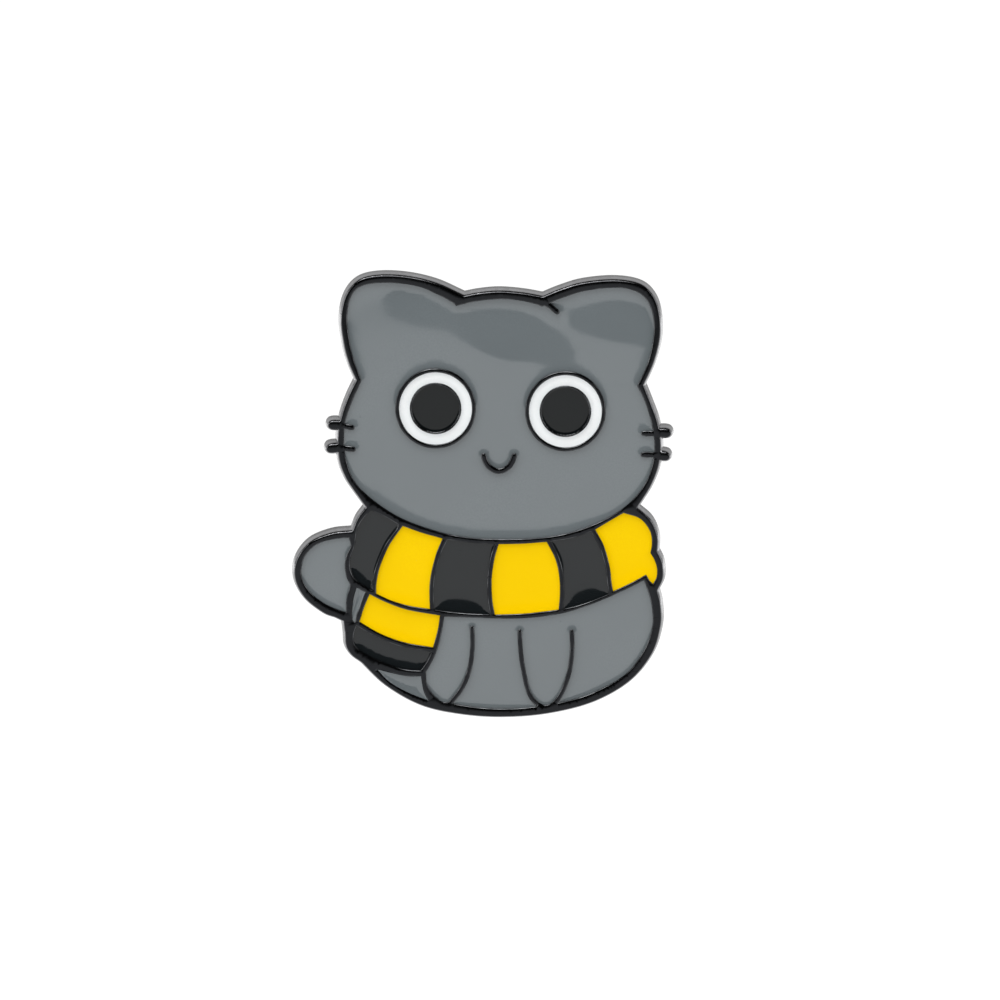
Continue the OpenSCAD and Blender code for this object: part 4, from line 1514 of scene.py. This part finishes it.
@dataclass
class Studio:
    """White floor and backdrop, soft lights and the camera.

    Attributes:
        floor_z: Height of the floor.
        floor_front: How far the floor reaches in front of the badge.
        backdrop_y: Distance of the backdrop.
        backdrop_z: Height of its top.
        cove: Radius of the curve between floor and backdrop.
        half_width: Half the width of both.
        seen: Brightness of the floor and backdrop as the camera sees them.
        front_glow: Brightness with which the floor in front lights the badge.
        back_glow: Brightness with which the floor just behind lights it.
        pool_glow: Brightness of the floor farther behind.
        wall_glow: Brightness of the upright backdrop.
        glow_steps: y at which the brightness starts and ends each change, from front to back.
        room: Brightness of the dark room.
        distance: Distance of the camera.
        elevation: Its height above level, in degrees.
        aim: What it looks at.
        frame_w: Width of its frame there.
    """

    floor_z: float = -45.0
    floor_front: float = -520.0
    backdrop_y: float = 900.0
    backdrop_z: float = 700.0
    cove: float = 120.0
    half_width: float = 900.0
    seen: float = 1.02
    front_glow: float = 1.1
    back_glow: float = 0.62
    pool_glow: float = 1.08
    wall_glow: float = 0.5
    glow_steps: tuple[tuple[float, float], ...] = ((-60.0, 60.0), (190.0, 300.0), (600.0, 860.0))
    room: float = 0.03
    distance: float = 420.0
    elevation: float = 8.0
    aim: Point = (-0.133, -1.45, -0.533)
    frame_w: float = 200.0 / 3.0

    def paper(self) -> bpy.types.Material:
        """White paper: pure white to the camera, and a lamp of its own brightness in front and behind."""
        plain = {"Base Color": (0.08, 0.08, 0.08, 1.0), "Roughness": 1.0, "Specular IOR Level": 0.0,
                 "Emission Color": (1.0, 1.0, 1.0, 1.0)}
        paint = Paint("white_paper", plain)
        along = paint.node("ShaderNodeSeparateXYZ", {0: paint.place}).outputs[1]
        glow: Value = self.front_glow
        for step, brightness in zip(self.glow_steps, (self.back_glow, self.pool_glow, self.wall_glow)):
            glow = paint.ramp(along, *step, glow, brightness)
        paint.set("Emission Strength", paint.seen_or_lit(glow, self.seen))
        return paint.material

    def ground(self) -> None:
        """Lay the floor and curve it up behind: a level run, a quarter circle and an upright."""
        turn = np.radians(np.linspace(0, 90, 13))
        curve_y = self.backdrop_y - self.cove + self.cove * np.sin(turn)
        curve_z = self.floor_z + self.cove * (1 - np.cos(turn))
        profile = np.concatenate([
            [[self.floor_front, self.floor_z]],
            np.stack([curve_y, curve_z], 1),
            [[self.backdrop_y, self.backdrop_z]],
        ])
        rows = len(profile)
        sides = np.tile([-self.half_width, self.half_width], (rows, 1))
        points = np.stack([sides, np.repeat(profile[:, :1], 2, 1), np.repeat(profile[:, 1:], 2, 1)], 2)
        i = np.arange(rows - 1)
        quads = np.stack([2 * i, 2 * i + 1, 2 * i + 3, 2 * i + 2], 1)
        mesh = bpy.data.meshes.new("studio_floor")
        mesh.from_pydata((points.reshape(-1, 3) * MM).tolist(), [], quads.tolist())
        mesh.polygons.foreach_set("use_smooth", np.ones(len(quads), bool))
        floor = bpy.data.objects.new("studio_floor", mesh)
        bpy.context.scene.collection.objects.link(floor)
        mesh.materials.append(self.paper())

    def light(self, name: str, place: Point, size: tuple[float, float], bright: float) -> None:
        """Add a soft rectangular light that faces the badge.

        Args:
            name: Its name.
            place: Where it stands.
            size: Its width and height.
            bright: Its radiance; its power is pi times this times its area.
        """
        lamp = bpy.data.lights.new(name, "AREA")
        lamp.shape = "RECTANGLE"
        lamp.size, lamp.size_y = size[0] * MM, size[1] * MM
        lamp.energy = math.pi * bright * lamp.size * lamp.size_y
        holder = bpy.data.objects.new(name, lamp)
        bpy.context.scene.collection.objects.link(holder)
        holder.location = Vector(place) * MM
        holder.rotation_euler = (-holder.location).to_track_quat("-Z", "Y").to_euler()
        holder.visible_camera = False

    def camera(self) -> None:
        """Set the camera in front of the badge and a little above it."""
        lens = bpy.data.cameras.new("camera")
        lens.sensor_width = 36.0
        lens.lens = lens.sensor_width * self.distance / self.frame_w
        lens.clip_start, lens.clip_end = 0.01, 10.0
        holder = bpy.data.objects.new("camera", lens)
        bpy.context.scene.collection.objects.link(holder)
        rise = math.radians(self.elevation)
        back = Vector((0.0, -math.cos(rise), math.sin(rise))) * self.distance
        holder.location = (Vector(self.aim) + back) * MM
        holder.rotation_euler = (math.pi / 2 - rise, 0.0, 0.0)
        bpy.context.scene.camera = holder

    def surroundings(self) -> None:
        """Make the room dark to the badge and white to the camera."""
        world = bpy.data.worlds.new("studio")
        world.use_nodes = True
        world.node_tree.nodes.clear()
        graph = Graph(world.node_tree)
        bright = graph.seen_or_lit(self.room, self.seen)
        glow = graph.node("ShaderNodeBackground", {"Color": (1.0, 1.0, 1.0, 1.0), "Strength": bright})
        graph.node("ShaderNodeOutputWorld", {"Surface": glow.outputs[0]})
        bpy.context.scene.world = world
        bpy.context.scene.view_settings.view_transform = "Standard"

    def build(self) -> None:
        """Set up everything round the badge."""
        self.surroundings()
        self.ground()
        self.camera()
        self.light("overhead", (-60.0, -120.0, 340.0), (320.0, 240.0), 5.3)
        self.light("left_card", (-430.0, -330.0, 40.0), (360.0, 460.0), 0.95)
        self.light("right_card", (430.0, -330.0, 40.0), (360.0, 460.0), 0.85)
        self.light("left_box", (-300.0, -110.0, 120.0), (90.0, 240.0), 3.4)
        self.light("right_box", (300.0, -110.0, 120.0), (90.0, 240.0), 2.8)
        self.light("left_board", (-600.0, 60.0, 80.0), (420.0, 420.0), 1.3)
        self.light("right_board", (600.0, 60.0, 80.0), (420.0, 420.0), 1.1)


# Hollows in the head's enamel: across the forehead, in the right ear, and along the chin
HEAD_HOLLOWS = (
    ((-7.6, 13.2), (-7.2, 12.2), (-5.5, 11.5), (-3.7, 11.2), (-1.9, 10.0), (-0.1, 9.1), (2.2, 8.8),
     (4.5, 8.4), (4.8, 9.2), (3.8, 10.6), (2.4, 11.8), (0.7, 12.4), (-1.0, 12.6), (-2.6, 12.6),
     (-4.0, 13.2), (-6.0, 13.9), (-7.3, 13.8)),
    ((4.4, 12.0), (4.6, 11.3), (7.1, 10.5), (9.9, 10.1), (10.2, 11.5), (9.7, 12.5), (7.3, 12.8), (5.3, 12.3)),
    ((-9.3, 1.2), (-8.5, 1.3), (-7.6, 0.5), (-6.4, -0.6), (-5.0, -1.4), (-2.6, -1.8), (0.3, -1.9),
     (3.0, -1.9), (5.0, -1.7), (6.8, -1.7), (5.4, -2.2), (3.2, -2.8), (0.3, -3.0), (-2.8, -2.8),
     (-5.8, -2.0), (-8.0, -0.7)),
)
# A hollow at the foot of the scarf's left fold
FOLD_HOLLOWS = (
    ((-10.1, -5.0), (-9.6, -5.2), (-9.1, -5.7), (-8.7, -6.0), (-8.8, -6.8), (-9.4, -6.4), (-10.0, -5.9)),
)
# A hollow along the foot of the scarf's hanging end
END_HOLLOWS = (
    ((-9.7, -10.0), (-9.0, -10.3), (-8.1, -10.8), (-7.0, -11.1), (-5.9, -11.3), (-5.1, -11.5), (-5.0, -12.2),
     (-6.5, -12.2), (-7.6, -11.9), (-8.9, -11.3), (-9.7, -10.8)),
)


def enamel_fills() -> list[EnamelFill]:
    """Every field of enamel, with the way it lies in its pocket."""
    grey = EnamelFinish("grey_enamel", linear(108, 115, 118), shine=0.75).make()
    charcoal = EnamelFinish("charcoal_enamel", linear(21, 25, 27), shine=0.42).make()
    white = EnamelFinish("white_enamel", linear(249, 253, 254), rim=0.88).make()
    pupil = EnamelFinish("pupil_enamel", linear(14, 18, 19), shine=0.27).make()
    yellow = EnamelFinish("yellow_enamel", (1.0, 0.635, 0.001), rim=0.86, shine=0.03).make()
    eyes = [f"{side}_eye_white_enamel" for side in ("left", "right")]
    pupils = [f"{side}_pupil_enamel" for side in ("left", "right")]
    yellows = [f"scarf_yellow_{part}_enamel" for part in ("left", "middle", "right")]
    fold = Hollows(FOLD_HOLLOWS, -7.0, -1.0, lean=0.06, blur=0.1)
    end = Hollows(END_HOLLOWS, -12.6, -9.0, lean=0.06, blur=0.12)
    return [
        EnamelFill(["head_enamel"], "grey_enamel", grey, bowl=0.015, climb=0.035,
                   hollows={"head_enamel": Hollows(HEAD_HOLLOWS)}),
        EnamelFill(["tail_enamel", "body_enamel"], "grey_enamel", grey, bowl=0.03, reach=0.42, climb=0.035),
        EnamelFill(["flank_enamel"], "grey_enamel", grey, bowl=0.12, climb=0.13, creep=0.2, streak=0.032),
        EnamelFill(["haunch_enamel"], "grey_enamel", grey, bowl=0.12, climb=0.12, creep=0.2, streak=0.008),
        EnamelFill(eyes, "white_enamel", white, bowl=0.02),
        EnamelFill(pupils, "pupil_enamel", pupil, bowl=0.0, climb=0.012, creep=0.05),
        EnamelFill([*yellows, "scarf_end_yellow_enamel"], "yellow_enamel", yellow),
        EnamelFill(["scarf_black_middle_enamel", "scarf_black_right_enamel"], "charcoal_enamel", charcoal,
                   bowl=0.085, reach=0.45, climb=0.03),
        EnamelFill(["scarf_black_left_enamel", "scarf_end_black_enamel"], "charcoal_enamel", charcoal,
                   bowl=0.01, climb=0.02, creep=0.06,
                   hollows={"scarf_black_left_enamel": fold, "scarf_end_black_enamel": end}),
    ]


def main() -> None:
    """Build every piece of the pin, then the studio."""
    logging.basicConfig(level=logging.INFO, format="%(message)s")
    build_effects()
    BadgePlate().assemble()
    for fill in enamel_fills():
        fill.assemble()
    nickel = NickelFinish("bright_nickel", (0.72, 0.70, 0.66)).make()
    solder = NickelFinish("soft_solder", (0.60, 0.60, 0.59), gloss=0.36, rub=0.001, lumps=0.05).make()
    wire = NickelFinish("spring_wire", (0.62, 0.62, 0.64), gloss=0.24, rub=0.004, lumps=0.004).make()
    for place in Place:
        Post(place, nickel, solder).assemble()
        Clutch(place, nickel, wire).assemble()
    Studio().build()


if __name__ == "__main__":
    main()
